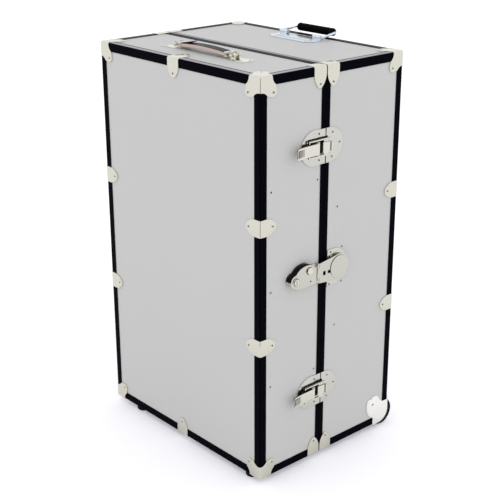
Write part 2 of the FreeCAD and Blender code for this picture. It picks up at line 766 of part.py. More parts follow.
def case_outline(grow):
    """The outline of the lock case from its lower corner at the hinge, grown by that much."""
    end = case_end - grow
    low, high, crown, nose = case_half + grow, case_half + grow, case_crown + grow, case_nose + grow
    slope = (case_crown_x + boss_x) / 2 + grow * 0.5
    return (end, -low), [
        (boss_x - case_belly, -low - case_swell),
        ((boss_x - case_belly * 0.3125, -low + case_swell * 1.2), (boss_x + case_belly / 4, -nose + case_swell / 2)),
        ((boss_x + nose, 0.0), (boss_x, nose)),
        ((slope + case_belly / 2, (crown + nose) / 2 + case_swell * 1.2),
         (case_crown_x + case_slope, crown - case_swell * 1.8)),
        ((case_crown_x, crown), (case_crown_x - case_brow, crown - case_swell * 2)),
        ((case_crown_x - case_brow * 1.5, (crown + high) / 2), (case_end + case_belly / 4, high + case_swell)),
        (end, high),
    ]


case_shape = lock_place.plate(*case_outline(0.0), 0.0, case_depth)
case_shape = eased(case_shape, front - case_depth, case_edge)
boss = lock_place.disc(boss_x, 0.0, boss_radius, case_depth - 1.0, case_depth + boss_proud)
case_shape = joined([case_shape, eased(boss, front - case_depth - boss_proud, 0.8)])
foot_plate = lock_place.plate(*case_outline(1.5), -sheet, latch_plate)
hinge_plate = lock_place.plate(
    (plate_start, -knuckle_end),
    [(case_end, -knuckle_end), (case_end, knuckle_end), (plate_start, knuckle_end)],
    -sheet, latch_plate,
)
foot_plate = seated(joined([foot_plate, hinge_plate]), drawer_trims)
axis_x = seam - hasp_axis
axis_y = front - hasp_proud
hasp_pin = rod(pin_radius, (axis_x, axis_y, lock_z - knuckle_end), (axis_x, axis_y, lock_z + knuckle_end))
lugs = []
for way in (-1, 1):
    low, high = lock_z + way * (knuckle_hasp + run), lock_z + way * knuckle_end
    lugs.append(rod(hasp_barrel, (axis_x, axis_y, low), (axis_x, axis_y, high)))
    lugs.append(block(axis_x - hasp_barrel, axis_x + hasp_barrel, axis_y, front - latch_plate + 0.5,
                      low, high))
case_top = case_depth + boss_proud
cylinder_bore = lock_place.disc(boss_x, 0.0, cylinder_radius + bore_gap, -sheet, case_top)
button_bore = lock_place.disc(button_x, button_rise, button_radius + bore_gap, -sheet, case_top)
lock_case = joined([case_shape, foot_plate] + lugs).cut([hasp_pin, cylinder_bore, button_bore])
pivot_pins.append(hasp_pin)
cylinder_top = case_top + cylinder_proud
key_cylinder = lock_place.disc(boss_x, 0.0, cylinder_radius, 0.0, cylinder_top)
key_cylinder = key_cylinder.cut(block(
    seam - boss_x - 1.0, seam - boss_x + 1.0, front - cylinder_top - 1.0, front - cylinder_top + 6.0,
    lock_z - 5.0, lock_z + 5.0))
button_top = case_depth + button_travel + button_rim
push_button = lock_place.disc(button_x, button_rise, button_radius, button_travel + 0.5, button_top)
push_button = eased(push_button, front - button_top, 0.8)
rivet_heads["drawer"].append(lock_place.rivet(*case_rivet, case_depth))

arm_low = hasp_proud + 1.5
arm_high = arm_low + hasp_sheet
disc_u = hasp_disc_x
arm = keeper_place.plate(
    (-hasp_axis + 1.0, hasp_rise),
    [
        (-hasp_axis + 1.0, -hasp_fall), (disc_u - 12.0, -hasp_disc + 2.3),
        ((disc_u + hasp_disc, 0.0), (disc_u - 12.0, hasp_disc - 2.3)),
    ],
    arm_low, arm_high,
)
hasp_body = rod(hasp_barrel, (axis_x, axis_y, lock_z - knuckle_hasp), (axis_x, axis_y, lock_z + knuckle_hasp))
relief = [
    rod(hasp_barrel + run, (axis_x, axis_y, lock_z + way * knuckle_hasp),
        (axis_x, axis_y, lock_z + way * (knuckle_end + run)))
    for way in (-1, 1)
]
dome = keeper_place.disc(disc_u, 0.0, hasp_disc - 4.0, arm_low - 3.0, arm_high + 2.0)
dome = eased(dome, front - arm_high - 2.0, 1.6)
slots = [
    block(seam + span[0], seam + span[1], front - arm_low + 1.0, front - arm_high - 1.0,
          lock_z - hasp_slot_drop - half, lock_z - hasp_slot_drop + half)
    for span, half in ((hasp_window, hasp_window_half), (hasp_slot, hasp_slot_half))
]
bridge = block(axis_x, axis_x + 4.0, axis_y, front - arm_high, lock_z - knuckle_hasp, lock_z + knuckle_hasp)
hasp = joined([arm, hasp_body, dome, bridge]).cut(relief + slots)
hasp = hasp.cut(rod(pin_radius + bore_gap, (axis_x, axis_y, lock_z - knuckle_end),
                    (axis_x, axis_y, lock_z + knuckle_end)))

keeper = keeper_place.plate(
    (keeper_start, keeper_rise),
    [
        (keeper_start, -keeper_drop), (keeper_step, -keeper_rise),
        ((disc_u + keeper_end, -2.0), (keeper_step, keeper_rise)),
    ],
    -sheet, latch_plate,
)
keeper = seated(keeper, hanging_trims)
staple = keeper_place.disc(disc_u, 0.0, hasp_disc - 10.0, latch_plate, arm_low - 3.0 - run)
lock_keeper = joined([keeper, staple])
for u, v in ((25.0, 41.0), (28.0, 28.0), (22.3, -44.0), (28.0, -28.0)):
    rivet_heads["hanging"].append(keeper_place.rivet(u, v, latch_plate))

keep("lock_case", [lock_case])
keep("key_cylinder", [key_cylinder])
keep("push_button", [push_button])
keep("hasp", [hasp])
keep("lock_keeper", [lock_keeper])
keep("latch_plates", latch_plates)
keep("latch_catches", latch_catches)

# ---------------------------------------------------------------- back hinges
hinge_y = back + hinge_axis_proud
segment = 2 * hinge_half / 5
leaves_drawer, leaves_hanging = [], []


def hinge_leaf(z, way, rows, trims):
    """One leaf. way is -1 for the drawer side. rows are its knuckles, counted from below."""
    face = Place((seam, back, z), (way, 0, 0), (0, 0, 1), (0, 1, 0))
    outline = [
        (hinge_start, -hinge_half), (hinge_reach - 8.0, -hinge_half),
        ((hinge_reach - 2.3, -hinge_half + 2.3), (hinge_reach, -hinge_half + 8.0)),
        (hinge_reach, hinge_half - 8.0),
        ((hinge_reach - 2.3, hinge_half - 2.3), (hinge_reach - 8.0, hinge_half)),
    ]
    leaf = seated(face.plate((hinge_start, hinge_half), outline, -sheet, hinge_sheet), trims)
    parts = [leaf]
    for row in rows:
        low = z - hinge_half + row * segment + run / 2
        high = low + segment - run
        parts.append(rod(hinge_barrel, (seam, hinge_y, low), (seam, hinge_y, high)))
        parts.append(block(seam + way * hinge_start, seam + way * hinge_barrel, back, hinge_y, low, high))
    for v in (-hinge_half + 11.0, 0.0, hinge_half - 11.0):
        rivet_heads["drawer" if way < 0 else "hanging"].append(face.rivet(hinge_reach - 12.0, v, hinge_sheet))
    return joined(parts)


hinge_start = seam_gap / 2 + 0.5
for z in (bottom + hinge_inset, (bottom + top) / 2, top - hinge_inset):
    pin = rod(pin_radius, (seam, hinge_y, z - hinge_half), (seam, hinge_y, z + hinge_half))
    bore = rod(pin_radius + bore_gap, (seam, hinge_y, z - hinge_half), (seam, hinge_y, z + hinge_half))
    leaves_drawer.append(hinge_leaf(z, -1, (0, 2, 4), drawer_trims).cut(pin))
    leaves_hanging.append(hinge_leaf(z, 1, (1, 3), hanging_trims).cut(bore))
    pivot_pins.append(pin)
keep("hinge_leaves_drawer", leaves_drawer)
keep("hinge_leaves_hanging", leaves_hanging)
keep("pivot_pins", pivot_pins)

# ---------------------------------------------------------------- carry handle
carry_x = left + carry_inset
skin_top = top - sheet
strap_bottom = skin_top + strap_clear
pin_z = strap_bottom + strap_thick / 2
strap_half = strap_length / 2
strap_side = Place((carry_x - strap_width / 2, 0, strap_bottom), (0, 1, 0), (0, 0, 1), (1, 0, 0))
strap = strap_side.plate(
    (-strap_half, 0.0),
    [
        ((0.0, strap_rise), (strap_half, 0.0)), (strap_half, strap_thick),
        ((0.0, strap_thick + strap_rise), (-strap_half, strap_thick)),
    ],
    0.0, strap_width,
)
strap = strap.makeFillet(2.0, [e for e in strap.Edges if e.Length > strap_length - 1.0])
end_caps, carry_plates = [], []
for way in (-1, 1):
    inner = way * (strap_half - end_cap_length)
    outer = way * (strap_half + end_cap_wall)
    tongue_end = way * (carry_pin_y + carry_pin_radius + 2.0)
    wrap = block(
        carry_x - strap_width / 2 - end_cap_wall, carry_x + strap_width / 2 + end_cap_wall, inner, outer,
        strap_bottom - end_cap_wall, strap_bottom + strap_thick + end_cap_wall + 0.6,
    )
    wrap = wrap.makeFillet(1.4, [e for e in wrap.Edges if e.BoundBox.YLength > 5.0]).cut(strap)
    tongue = block(carry_x - tongue_half, carry_x + tongue_half, outer, tongue_end,
                   pin_z - tongue_rise, pin_z + tongue_rise)
    tongue = tongue.makeFillet(3.0, [
        e for e in tongue.Edges if e.BoundBox.XLength > 5.0 and abs(e.CenterOfMass.y - tongue_end) < 0.1])
    pin_half = carry_head_x - 1.5
    cross_pin = rod(carry_pin_radius, (carry_x - pin_half, way * carry_pin_y, pin_z),
                    (carry_x + pin_half, way * carry_pin_y, pin_z))
    heads = [Part.makeSphere(carry_head, V(carry_x + side * carry_head_x, way * carry_pin_y, pin_z))
             for side in (-1, 1)]
    end_caps.append(joined([wrap, tongue, cross_pin] + heads))
    ys = (way * carry_plate_start, way * carry_plate_end)
    base = block(carry_x - carry_plate_half, carry_x + carry_plate_half, *ys,
                 skin_top, skin_top + carry_plate)
    base = base.makeFillet(9.0, [e for e in base.Edges if e.BoundBox.ZLength > carry_plate - 0.1])
    ear_top = pin_z + carry_lift + carry_ear_margin
    ears = [
        block(carry_x + side * 7.5, carry_x + side * 9.5, way * carry_pin_y - 6.5, way * carry_pin_y + 6.5,
              skin_top + carry_plate, ear_top)
        for side in (-1, 1)
    ]
    slot = Place((carry_x - carry_plate_half, way * carry_pin_y, pin_z), (0, 1, 0), (0, 0, 1), (1, 0, 0))
    w = carry_pin_radius + 0.3
    slot_cut = slot.plate(
        (-w, 0.0), [((0.0, -w), (w, 0.0)), (w, carry_lift), ((0.0, carry_lift + w), (-w, carry_lift))],
        0.0, 2 * carry_plate_half)
    carry_plates.append(joined([base] + ears).cut(slot_cut))
    for side in (-1, 1):
        rivet_heads["drawer"].append(top_face.rivet(
            carry_x + side * 13.0, way * (carry_plate_end - 11.0), carry_plate - sheet))
keep("carry_strap", [strap])
keep("carry_end_caps", end_caps)
keep("carry_handle_plates", carry_plates)

# ---------------------------------------------------------------- tow handle
tow_x = right - tow_axis_inset
tow_z = top + tow_axis_rise
plate_low = skin_top
plate_high = plate_low + tow_sheet
tow_base = block(right - tow_plate_left, right - tow_plate_right,
                 tow_y - tow_plate_half, tow_y + tow_plate_half, plate_low, plate_high)
left_corners = [e for e in tow_base.Edges if e.BoundBox.ZLength > tow_sheet - 0.1
                and e.CenterOfMass.x < right - tow_plate_left + 1.0]
tow_base = tow_base.makeChamfer(tow_plate_chamfer, left_corners)
tow_base = tow_base.makeFillet(4.0, [e for e in tow_base.Edges if e.BoundBox.ZLength > tow_sheet - 0.1])
tow_ridge = block(right - tow_plate_left + 16.0, right - tow_plate_left + 26.0, tow_y - tow_ridge_half,
                  tow_y + tow_ridge_half, plate_high, plate_high + 3.0)
tow_ridge = tow_ridge.makeFillet(1.4, [e for e in tow_ridge.Edges if e.CenterOfMass.z > plate_high + 2.9])
knuckles = []
for way in (-1, 1):
    y0 = tow_y + way * (tow_half - 2.0)
    y1 = tow_y + way * (tow_half - 2.0 - tow_knuckle_length)
    knuckles.append(rod(tow_knuckle, (tow_x, y0, tow_z), (tow_x, y1, tow_z)))
    knuckles.append(block(tow_x - tow_knuckle, tow_x + 1.0, y0, y1, plate_high - 0.5, tow_z))
tow_bore = rod(tow_wire + bore_gap, (tow_x, tow_y - tow_half, tow_z), (tow_x, tow_y + tow_half, tow_z))
tow_plate = joined([tow_base, tow_ridge] + knuckles).cut(tow_bore)
grip_x = tow_x + tow_arm
grip_z = tow_z + grip_rise
bail = []
stub_end = tow_half - 2.0 - tow_knuckle_length - 4.0
for way in (-1, 1):
    elbow = (tow_x, tow_y + way * (tow_half + tow_wire + 1.0), tow_z)
    grip_end = (grip_x, tow_y + way * (grip_length / 2 + 5.0), grip_z)
    bail.append(rod(tow_wire, (tow_x, tow_y + way * stub_end, tow_z), elbow))
    bail.append(Part.makeSphere(tow_wire, V(*elbow)))
    bail.append(rod(tow_wire, elbow, grip_end))
    bail.append(Part.makeSphere(tow_wire, V(*grip_end)))
bail.append(rod(tow_wire, (grip_x, tow_y - grip_length / 2 - 5.0, grip_z),
                (grip_x, tow_y + grip_length / 2 + 5.0, grip_z)))
grip = rod(grip_radius, (grip_x, tow_y - grip_length / 2, grip_z), (grip_x, tow_y + grip_length / 2, grip_z))
grip = grip.makeFillet(2.5, [e for e in grip.Edges if e.BoundBox.YLength < 0.01])
grip = grip.cut(rod(tow_wire, (grip_x, tow_y - grip_length, grip_z), (grip_x, tow_y + grip_length, grip_z)))
keep("tow_plate", [tow_plate])
keep("tow_bail", [joined(bail)])
keep("tow_grip", [grip])
for u, v in ((right - tow_plate_left + 9.0, tow_plate_half - tow_plate_chamfer - 5.0),
             (right - tow_plate_right - 4.5, tow_plate_half - 5.0)):
    for way in (-1, 1):
        rivet_heads["hanging"].append(top_face.rivet(u, tow_y + way * v, tow_sheet - sheet))

# ---------------------------------------------------------------- drawers and runners
inside_left = left + wall
inside_front = front + wall
inside_back = back - wall
inside_bottom = bottom + wall
inside_top = top - wall
rim_inside = seam - seam_gap / 2 - drawer_setback
runners = []
for height in runner_heights:
    z = bottom + height
    for y, s in ((inside_front, 1), (inside_back, -1)):
        a, b = inside_left + runner_end, seam - runner_end
        upright = block(a, b, y, y + s * runner_sheet, z - runner_leg / 2, z + runner_leg / 2)
        shelf = block(a, b, y, y + s * runner_leg, z + runner_leg / 2 - runner_sheet, z + runner_leg / 2)
        runners.append(joined([upright, shelf]))
floors = [inside_bottom + fit] + [bottom + h + runner_leg / 2 + fit for h in runner_heights]
ceilings = [bottom + h - runner_leg / 2 for h in runner_heights]
heights = [c - f - drawer_space for f, c in zip(floors, ceilings)]
heights.append(inside_top - top_drawer_gap - floors[-1])
drawer_y0 = inside_front + runner_sheet + drawer_side_gap
drawer_y1 = inside_back - runner_sheet - drawer_side_gap
drawer_x0 = inside_left + drawer_back_gap
for number, (low, tall) in enumerate(zip(floors, heights), start=1):
    high = low + tall
    front_x = rim_inside - drawer_front_board
    tray = block(drawer_x0, front_x, drawer_y0, drawer_y1, low, high - drawer_side_drop)
    face_board = block(front_x, rim_inside, inside_front + drawer_front_gap, inside_back - drawer_front_gap,
                       low, high)
    face_board = face_board.makeFillet(1.5, [
        e for e in face_board.Edges if abs(e.CenterOfMass.x - rim_inside) < 0.01])
    hollow = block(drawer_x0 + drawer_board, front_x, drawer_y0 + drawer_board, drawer_y1 - drawer_board,
                   low + drawer_bottom, high)
    keep(f"drawer_{number}_box", [joined([tray.cut(hollow), face_board])])
    middle = low + tall * 0.55
    posts = [
        rod(pull_post, (rim_inside, way * (pull_width / 2 - 8.0), middle),
            (rim_inside + pull_depth, way * (pull_width / 2 - 8.0), middle))
        for way in (-1, 1)
    ]
    bar = block(rim_inside + pull_depth - pull_thick, rim_inside + pull_depth, -pull_width / 2, pull_width / 2,
                middle - 7.0, middle + 7.0)
    bar = bar.makeFillet(2.5, bar.Edges)
    keep(f"drawer_{number}_pull", [joined(posts + [bar])])
keep("drawer_runners", runners)

# ---------------------------------------------------------------- garment rail and hangers
rail_z = inside_top - rail_drop
rail_end = right - wall
rail_start = seam + rail_seam_inset
socket = rod(rail_radius + socket_wall, (rail_end - socket_length, 0, rail_z), (rail_end, 0, rail_z))
rail = rod(rail_radius, (rail_start, 0, rail_z), (rail_end, 0, rail_z))
bracket_x = (rail_start + bracket_inset, rail_start + bracket_inset + bracket_width)
hook_strap = block(*bracket_x, -bracket_half, bracket_half, rail_z - rail_radius - bracket_sheet, inside_top)
hook_hole = block(*bracket_x, bracket_sheet - bracket_half, bracket_half - bracket_sheet, rail_z,
                  inside_top - bracket_sheet)
hook_bore = rod(rail_radius, (rail_start, 0, rail_z), (rail_end, 0, rail_z))
foot_pad = block(*bracket_x, -bracket_foot, bracket_foot, inside_top - bracket_sheet, inside_top)
bracket = joined([hook_strap, foot_pad]).cut([hook_hole, hook_bore])
keep("garment_rail", [rail])
keep("rail_brackets", [bracket, socket.cut(rail)])


def hanger(x):
    """A one-piece clothes hanger that hangs on the rail."""
    plate = Place((x - hanger_thick / 2, 0, rail_z), (0, 1, 0), (0, 0, 1), (1, 0, 0))
    inner = rail_radius + hanger_swing_gap
    outer = inner + 5.0
    throat = -30.0
    hook = plate.plate(
        (-inner, 0.0),
        [
            ((0.0, inner), (inner, 0.0)), (outer, 0.0), ((0.0, outer), (-outer, 0.0)),
            ((-outer * 0.75, throat * 0.6), (-3.5, throat)), (3.5, throat + 1.0),
            ((-inner * 0.55, throat * 0.48), (-inner, 0.0)),
        ],
        1.5, hanger_thick - 1.5,
    )
    arm_drop = -88.0
    arms = plate.plate(
        (-hanger_half, arm_drop),
        [
            ((-hanger_half * 0.45, throat - 17.0), (-10.0, throat + 2.0)), (10.0, throat + 2.0),
            ((hanger_half * 0.45, throat - 17.0), (hanger_half, arm_drop)),
            ((hanger_half + 2.0, arm_drop - 12.0), (hanger_half - 10.0, arm_drop - 15.0)),
            ((hanger_half * 0.45, throat - 36.0), (0.0, throat - 22.0)),
            ((-hanger_half * 0.45, throat - 36.0), (-hanger_half + 10.0, arm_drop - 15.0)),
            ((-hanger_half - 2.0, arm_drop - 12.0), (-hanger_half, arm_drop)),
        ],
        0.0, hanger_thick,
    )
    return joined([hook, arms])


hanger_places = [right - wall - hanger_first - k * hanger_pitch for k in range(hanger_count)]
for number, x in enumerate(hanger_places, start=1):
    keep(f"hanger_{number}", [hanger(x)])

strap_anchors = []
for y, s in ((inside_front, 1), (inside_back, -1)):
    for height in anchor_rivets:
        x, z = seam + anchor_x, bottom + height
        plate = block(x - anchor_half_width, x + anchor_half_width, y, y + s * anchor_sheet,
                      z - anchor_half, z + anchor_half)
        plate = plate.makeFillet(4.0, [e for e in plate.Edges if e.BoundBox.YLength > anchor_sheet - 0.1])
        slots_in = [
            block(x - anchor_slot_half, x + anchor_slot_half, y, y + s * anchor_sheet,
                  middle - anchor_slot / 2, middle + anchor_slot / 2)
            for middle in (z - anchor_slot_middle, z + anchor_slot_middle)
        ]
        strap_anchors.append(plate.cut(slots_in))
keep("strap_anchors", strap_anchors)

# ---------------------------------------------------------------- feet
feet = {"drawer": [], "hanging": []}
for y in (front + foot_front_inset, back - foot_back_inset):
    for name, x in (
        ("drawer", left + foot_inset), ("drawer", seam - seam_foot_inset),
        ("hanging", seam + seam_foot_inset),
    ):
        foot = rod(foot_radius, (x, y, 0), (x, y, bottom + sheet))
        foot = foot.makeFillet(3.0, [e for e in foot.Edges if e.BoundBox.ZMax < 0.01])
        feet[name].append(foot)

# ---------------------------------------------------------------- all remaining nodes
for half in (drawer_half, hanging_half):
    name = half.name
    trims = drawer_trims if half is drawer_half else hanging_trims
    keep(f"{name}_trims", trims)
    keep(f"{name}_corner_caps", caps[name])
    keep(f"{name}_clamps", clamps[name])
    keep(f"{name}_rivets", rivet_heads[name])
    feet_clear = [foot.cut(trims + caps[name] + rivet_heads[name]) for foot in feet[name]]
    keep(f"{name}_feet", feet_clear)
keep("wheel_corner_plates", wheel_plates)
keep("wheel_wells", [front_wheel[1], back_wheel[1]])
keep("wheel_axles", [front_wheel[3], back_wheel[3]])
keep("front_wheel", [front_wheel[4]])
keep("back_wheel", [back_wheel[4]])

# ---------------------------------------------------------------- origin under the middle, and export
whole = Part.makeCompound([solid for solids in nodes.values() for solid in solids])
extent = whole.optimalBoundingBox()
shift = V(-(extent.XMin + extent.XMax) / 2, -(extent.YMin + extent.YMax) / 2, -extent.ZMin)

os.makedirs("parts", exist_ok=True)
for name, solids in nodes.items():
    shape = solids[0] if len(solids) == 1 else Part.makeCompound(solids)
    shape.translated(shift).exportStep(f"parts/{name}.step")
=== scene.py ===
import json
import math

import bmesh
import bpy
from mathutils import Matrix, Vector

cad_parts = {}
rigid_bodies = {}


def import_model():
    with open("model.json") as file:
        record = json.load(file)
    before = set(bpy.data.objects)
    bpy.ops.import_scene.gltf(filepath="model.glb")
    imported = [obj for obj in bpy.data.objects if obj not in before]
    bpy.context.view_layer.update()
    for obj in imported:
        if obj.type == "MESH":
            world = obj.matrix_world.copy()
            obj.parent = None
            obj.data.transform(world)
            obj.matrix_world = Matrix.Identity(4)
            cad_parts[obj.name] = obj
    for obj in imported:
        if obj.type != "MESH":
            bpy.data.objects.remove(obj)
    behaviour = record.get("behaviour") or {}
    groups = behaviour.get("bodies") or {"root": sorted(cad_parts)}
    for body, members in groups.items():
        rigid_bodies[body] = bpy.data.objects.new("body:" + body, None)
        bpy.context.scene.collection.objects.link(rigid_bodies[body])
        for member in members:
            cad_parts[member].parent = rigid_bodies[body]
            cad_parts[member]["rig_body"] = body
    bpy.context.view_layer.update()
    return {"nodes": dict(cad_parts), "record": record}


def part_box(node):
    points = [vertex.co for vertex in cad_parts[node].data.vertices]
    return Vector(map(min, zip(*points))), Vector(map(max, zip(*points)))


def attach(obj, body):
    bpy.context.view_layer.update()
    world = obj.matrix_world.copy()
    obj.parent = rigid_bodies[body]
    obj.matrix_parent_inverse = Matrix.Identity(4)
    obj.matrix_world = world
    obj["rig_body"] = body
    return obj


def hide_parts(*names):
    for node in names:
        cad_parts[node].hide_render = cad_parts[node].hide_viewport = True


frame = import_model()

MM = 0.001
record_slots = {part["node"]: part["material_slot"] for part in frame["record"]["subparts"]}


def low(node, axis):
    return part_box(node)[0][axis]


def high(node, axis):
    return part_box(node)[1][axis]


def mid(node, axis):
    return (low(node, axis) + high(node, axis)) / 2


def centre_of(node):
    return (Vector(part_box(node)[0]) + Vector(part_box(node)[1])) / 2


# ---------------------------------------------------------------- datums of the trunk
left, right = low("drawer_trims", 0), high("hanging_trims", 0)
front, back = low("drawer_trims", 1), high("drawer_trims", 1)
bottom, top = low("drawer_trims", 2), high("drawer_trims", 2)
seam = (high("drawer_trims", 0) + low("hanging_trims", 0)) / 2
middle = Vector(((left + right) / 2, (front + back) / 2, (bottom + top) / 2))

# ---------------------------------------------------------------- camera
lens_data = bpy.data.cameras.new("camera")
lens_data.lens, lens_data.sensor_width = 79.60, 36.0
camera = bpy.data.objects.new("camera", lens_data)
bpy.context.scene.collection.objects.link(camera)
camera_right = Vector((0.74664113, -0.66522312, -0.00228512))
camera_up = Vector((0.23717084, 0.26298617, 0.93519424))
camera_back = camera_right.cross(camera_up)
axes = Matrix((camera_right, camera_up, camera_back)).transposed().to_4x4()
camera_place = Vector((middle.x - 1.83361, middle.y - 2.06599, bottom + 1.51608))
camera.matrix_world = Matrix.Translation(camera_place) @ axes
bpy.context.scene.camera = camera
bpy.context.scene.view_settings.view_transform = "Standard"


# ---------------------------------------------------------------- surface arithmetic
class Field:
    """One value that varies over a surface, with ordinary arithmetic."""

    def __init__(self, finish, socket):
        self.finish, self.socket = finish, socket

    def work(self, operation, *values):
        node = self.finish.tree.nodes.new("ShaderNodeMath")
        node.operation = operation
        for entry, value in zip(node.inputs, values):
            self.finish.put(entry, value)
        return Field(self.finish, node.outputs[0])

    def __add__(self, other):
        return self.work("ADD", self, other)

    def __sub__(self, other):
        return self.work("SUBTRACT", self, other)

    def __mul__(self, other):
        return self.work("MULTIPLY", self, other)

    def __rsub__(self, other):
        return self.work("SUBTRACT", other, self)

    __radd__, __rmul__ = __add__, __mul__

    def least(self, other):
        return self.work("MINIMUM", self, other)

    def most(self, other):
        return self.work("MAXIMUM", self, other)

    def sine(self):
        return self.work("SINE", self)

    def step(self, start, end):
        """0 below start and 1 above end, smooth between them."""
        node = self.finish.node("ShaderNodeMapRange", {"interpolation_type": "SMOOTHSTEP"}, Value=self,
                                From_Min=start, From_Max=end, To_Min=0.0, To_Max=1.0)
        return Field(self.finish, node.outputs[0])


class Finish:
    """A material, and short ways to build its pattern."""

    def __init__(self, name, colour, metallic=0.0, **constants):
        self.material = bpy.data.materials.new(name)
        self.material.use_nodes = True
        self.tree = self.material.node_tree
        self.shader = self.tree.nodes["Principled BSDF"]
        self.shader.inputs["Base Color"].default_value = (*colour, 1.0)
        self.shader.inputs["Metallic"].default_value = metallic
        for label, value in constants.items():
            self.shader.inputs[label.replace("_", " ")].default_value = value
        place = self.node("ShaderNodeTexCoord", {}).outputs["Object"]
        self.place = Field(self, place)
        split = self.node("ShaderNodeSeparateXYZ", {}, Vector=self.place)
        self.x, self.y, self.z = (Field(self, socket) for socket in split.outputs)

    def put(self, entry, value):
        if isinstance(value, Field):
            self.tree.links.new(value.socket, entry)
        elif entry.type == "RGBA":
            entry.default_value = (*value, 1.0)
        else:
            entry.default_value = value

    def node(self, kind, settings, **values):
        made = self.tree.nodes.new(kind)
        for label, value in settings.items():
            setattr(made, label, value)
        for label, value in values.items():
            self.put(made.inputs[label.replace("_", " ")], value)
        return made

    def noise(self, size, detail=2.0, stretch=(1.0, 1.0, 1.0), offset=0.0, roughness=0.5):
        """Smooth mottling about 0.5, with features of that size in metres."""
        scaled = self.node("ShaderNodeMapping", {}, Vector=self.place, Scale=stretch,
                           Location=(offset,) * 3)
        made = self.node("ShaderNodeTexNoise", {}, Vector=Field(self, scaled.outputs[0]), Scale=1.0 / size,
                         Detail=detail, Roughness=roughness)
        return Field(self, made.outputs["Fac"])

    def cells(self, size, feature="F1", stretch=(1.0, 1.0, 1.0)):
        scaled = self.node("ShaderNodeMapping", {}, Vector=self.place, Scale=stretch)
        made = self.node("ShaderNodeTexVoronoi", {"feature": feature},
                         Vector=Field(self, scaled.outputs[0]), Scale=1.0 / size)
        return Field(self, made.outputs["Distance"])

    def mix(self, share, first, second):
        """A colour between two colours."""
        made = self.tree.nodes.new("ShaderNodeMix")
        made.data_type = "RGBA"
        for number, value in ((0, share), (6, first), (7, second)):
            self.put(made.inputs[number], value)
        return Field(self, made.outputs[2])

    def tone(self, colour, shade):
        """A colour made darker or lighter by a field about 1."""
        grey = self.node("ShaderNodeCombineXYZ", {}, X=shade, Y=shade, Z=shade)
        made = self.node("ShaderNodeVectorMath", {"operation": "MULTIPLY"})
        self.put(made.inputs[0], Field(self, grey.outputs[0]))
        if isinstance(colour, Field):
            self.put(made.inputs[1], colour)
        else:
            made.inputs[1].default_value = colour
        return Field(self, made.outputs[0])

    def dress(self, colour, roughness, relief=()):
        """Joins the pattern to the shader. relief is pairs of a height field and its depth in metres."""
        self.put(self.shader.inputs["Base Color"], colour)
        self.put(self.shader.inputs["Roughness"], roughness)
        normal = None
        for height, depth in relief:
            values = {"Height": height, "Distance": depth, "Strength": 1.0}
            if normal is not None:
                values["Normal"] = normal
            normal = Field(self, self.node("ShaderNodeBump", {}, **values).outputs[0])
        if normal is not None:
            self.put(self.shader.inputs["Normal"], normal)
        return self.material


# ---------------------------------------------------------------- finishes
def laminate():
    """Pale grey laminate outside with a fine emboss and painted shade that darkens the top face, and a grey
    cloth lining on the inside.
    """
    made = Finish("pale_grey_laminate", (0.57, 0.57, 0.57), Specular_IOR_Level=0.3)
    depth = (made.x - left).least(right - made.x).least(made.y - front).least(back - made.y)
    depth = depth.least(made.z - bottom).least(top - made.z)
    inner = depth.step(5.0 * MM, 6.0 * MM)
    # painted shade: the top face is drawn darker than the sides to offset the stronger light it gets
    painted_lid_shade = made.z.step(top - 3.0 * MM, top - 2.0 * MM)
    drift = made.noise(0.30, 2.0)
    cloud = made.noise(0.035, 4.0, offset=3.0)
    emboss = made.noise(0.9 * MM, 2.0, offset=7.0)
    brushed = made.noise(1.2 * MM, 2.0, stretch=(1.0, 1.0, 0.03), offset=1.0)
    shade = 1.0 + (drift - 0.5) * 0.025 + (cloud - 0.5) * 0.02 + (emboss - 0.5) * 0.03
    # the painted shade makes the top face 11 % darker
    shade = shade - painted_lid_shade * 0.11
    outside = made.tone((0.622, 0.622, 0.622), shade)
    weave = (made.x * 5200.0).sine() * (made.z * 5200.0).sine() + (made.y * 5200.0).sine()
    lining = made.tone((0.16, 0.165, 0.18), 1.0 + weave * 0.08)
    colour = made.mix(inner, outside, lining)
    rough = 0.46 + (cloud - 0.5) * 0.16 + (brushed - 0.5) * 0.10 + inner * 0.4
    grain = emboss * (1.0 - inner) + weave * inner * 0.5
    return made.dress(colour, rough, relief=((grain, 0.05 * MM), (drift, 0.3 * MM)))


def edge_trim():
    """Black enamelled trim with a fine pebble, rubbed corners and a painted pale reflection on the top legs
    of the near edges and the seam.
    """
    made = Finish("black_trim", (0.001, 0.001, 0.003), Specular_IOR_Level=0.012)
    pebble = made.cells(0.8 * MM)
    cloud = made.noise(0.03, 4.0)
    rub = made.noise(2.5 * MM, 4.0, offset=5.0).step(0.62, 0.80)
    colour = made.mix(rub * 0.25, (0.0010, 0.0010, 0.0034), (0.006, 0.006, 0.010))
    # painted reflection: the top legs of the two near edges and of the seam are drawn pale grey-lavender
    near = (made.x - left).least(made.y - front)
    near_leg = near.step(1.5 * MM, 4.0 * MM) * (1.0 - near.step(15.0 * MM, 17.0 * MM))
    over_seam = made.x - seam
    seam_leg = over_seam.step(2.0 * MM, 4.0 * MM) * (1.0 - over_seam.step(10.0 * MM, 12.0 * MM))
    painted_sheen_mask = made.z.step(top - 0.6 * MM, top - 0.1 * MM) * near_leg.most(seam_leg)
    painted_sheen = made.tone((0.43, 0.43, 0.48), 0.9 + cloud * 0.2)
    # the painted pale reflection is mixed in on those top legs
    colour = made.mix(painted_sheen_mask * 0.9, colour, painted_sheen)
    rough = 0.30 + (cloud - 0.5) * 0.16 + rub * 0.2
    return made.dress(colour, rough, relief=((pebble, 0.03 * MM),))


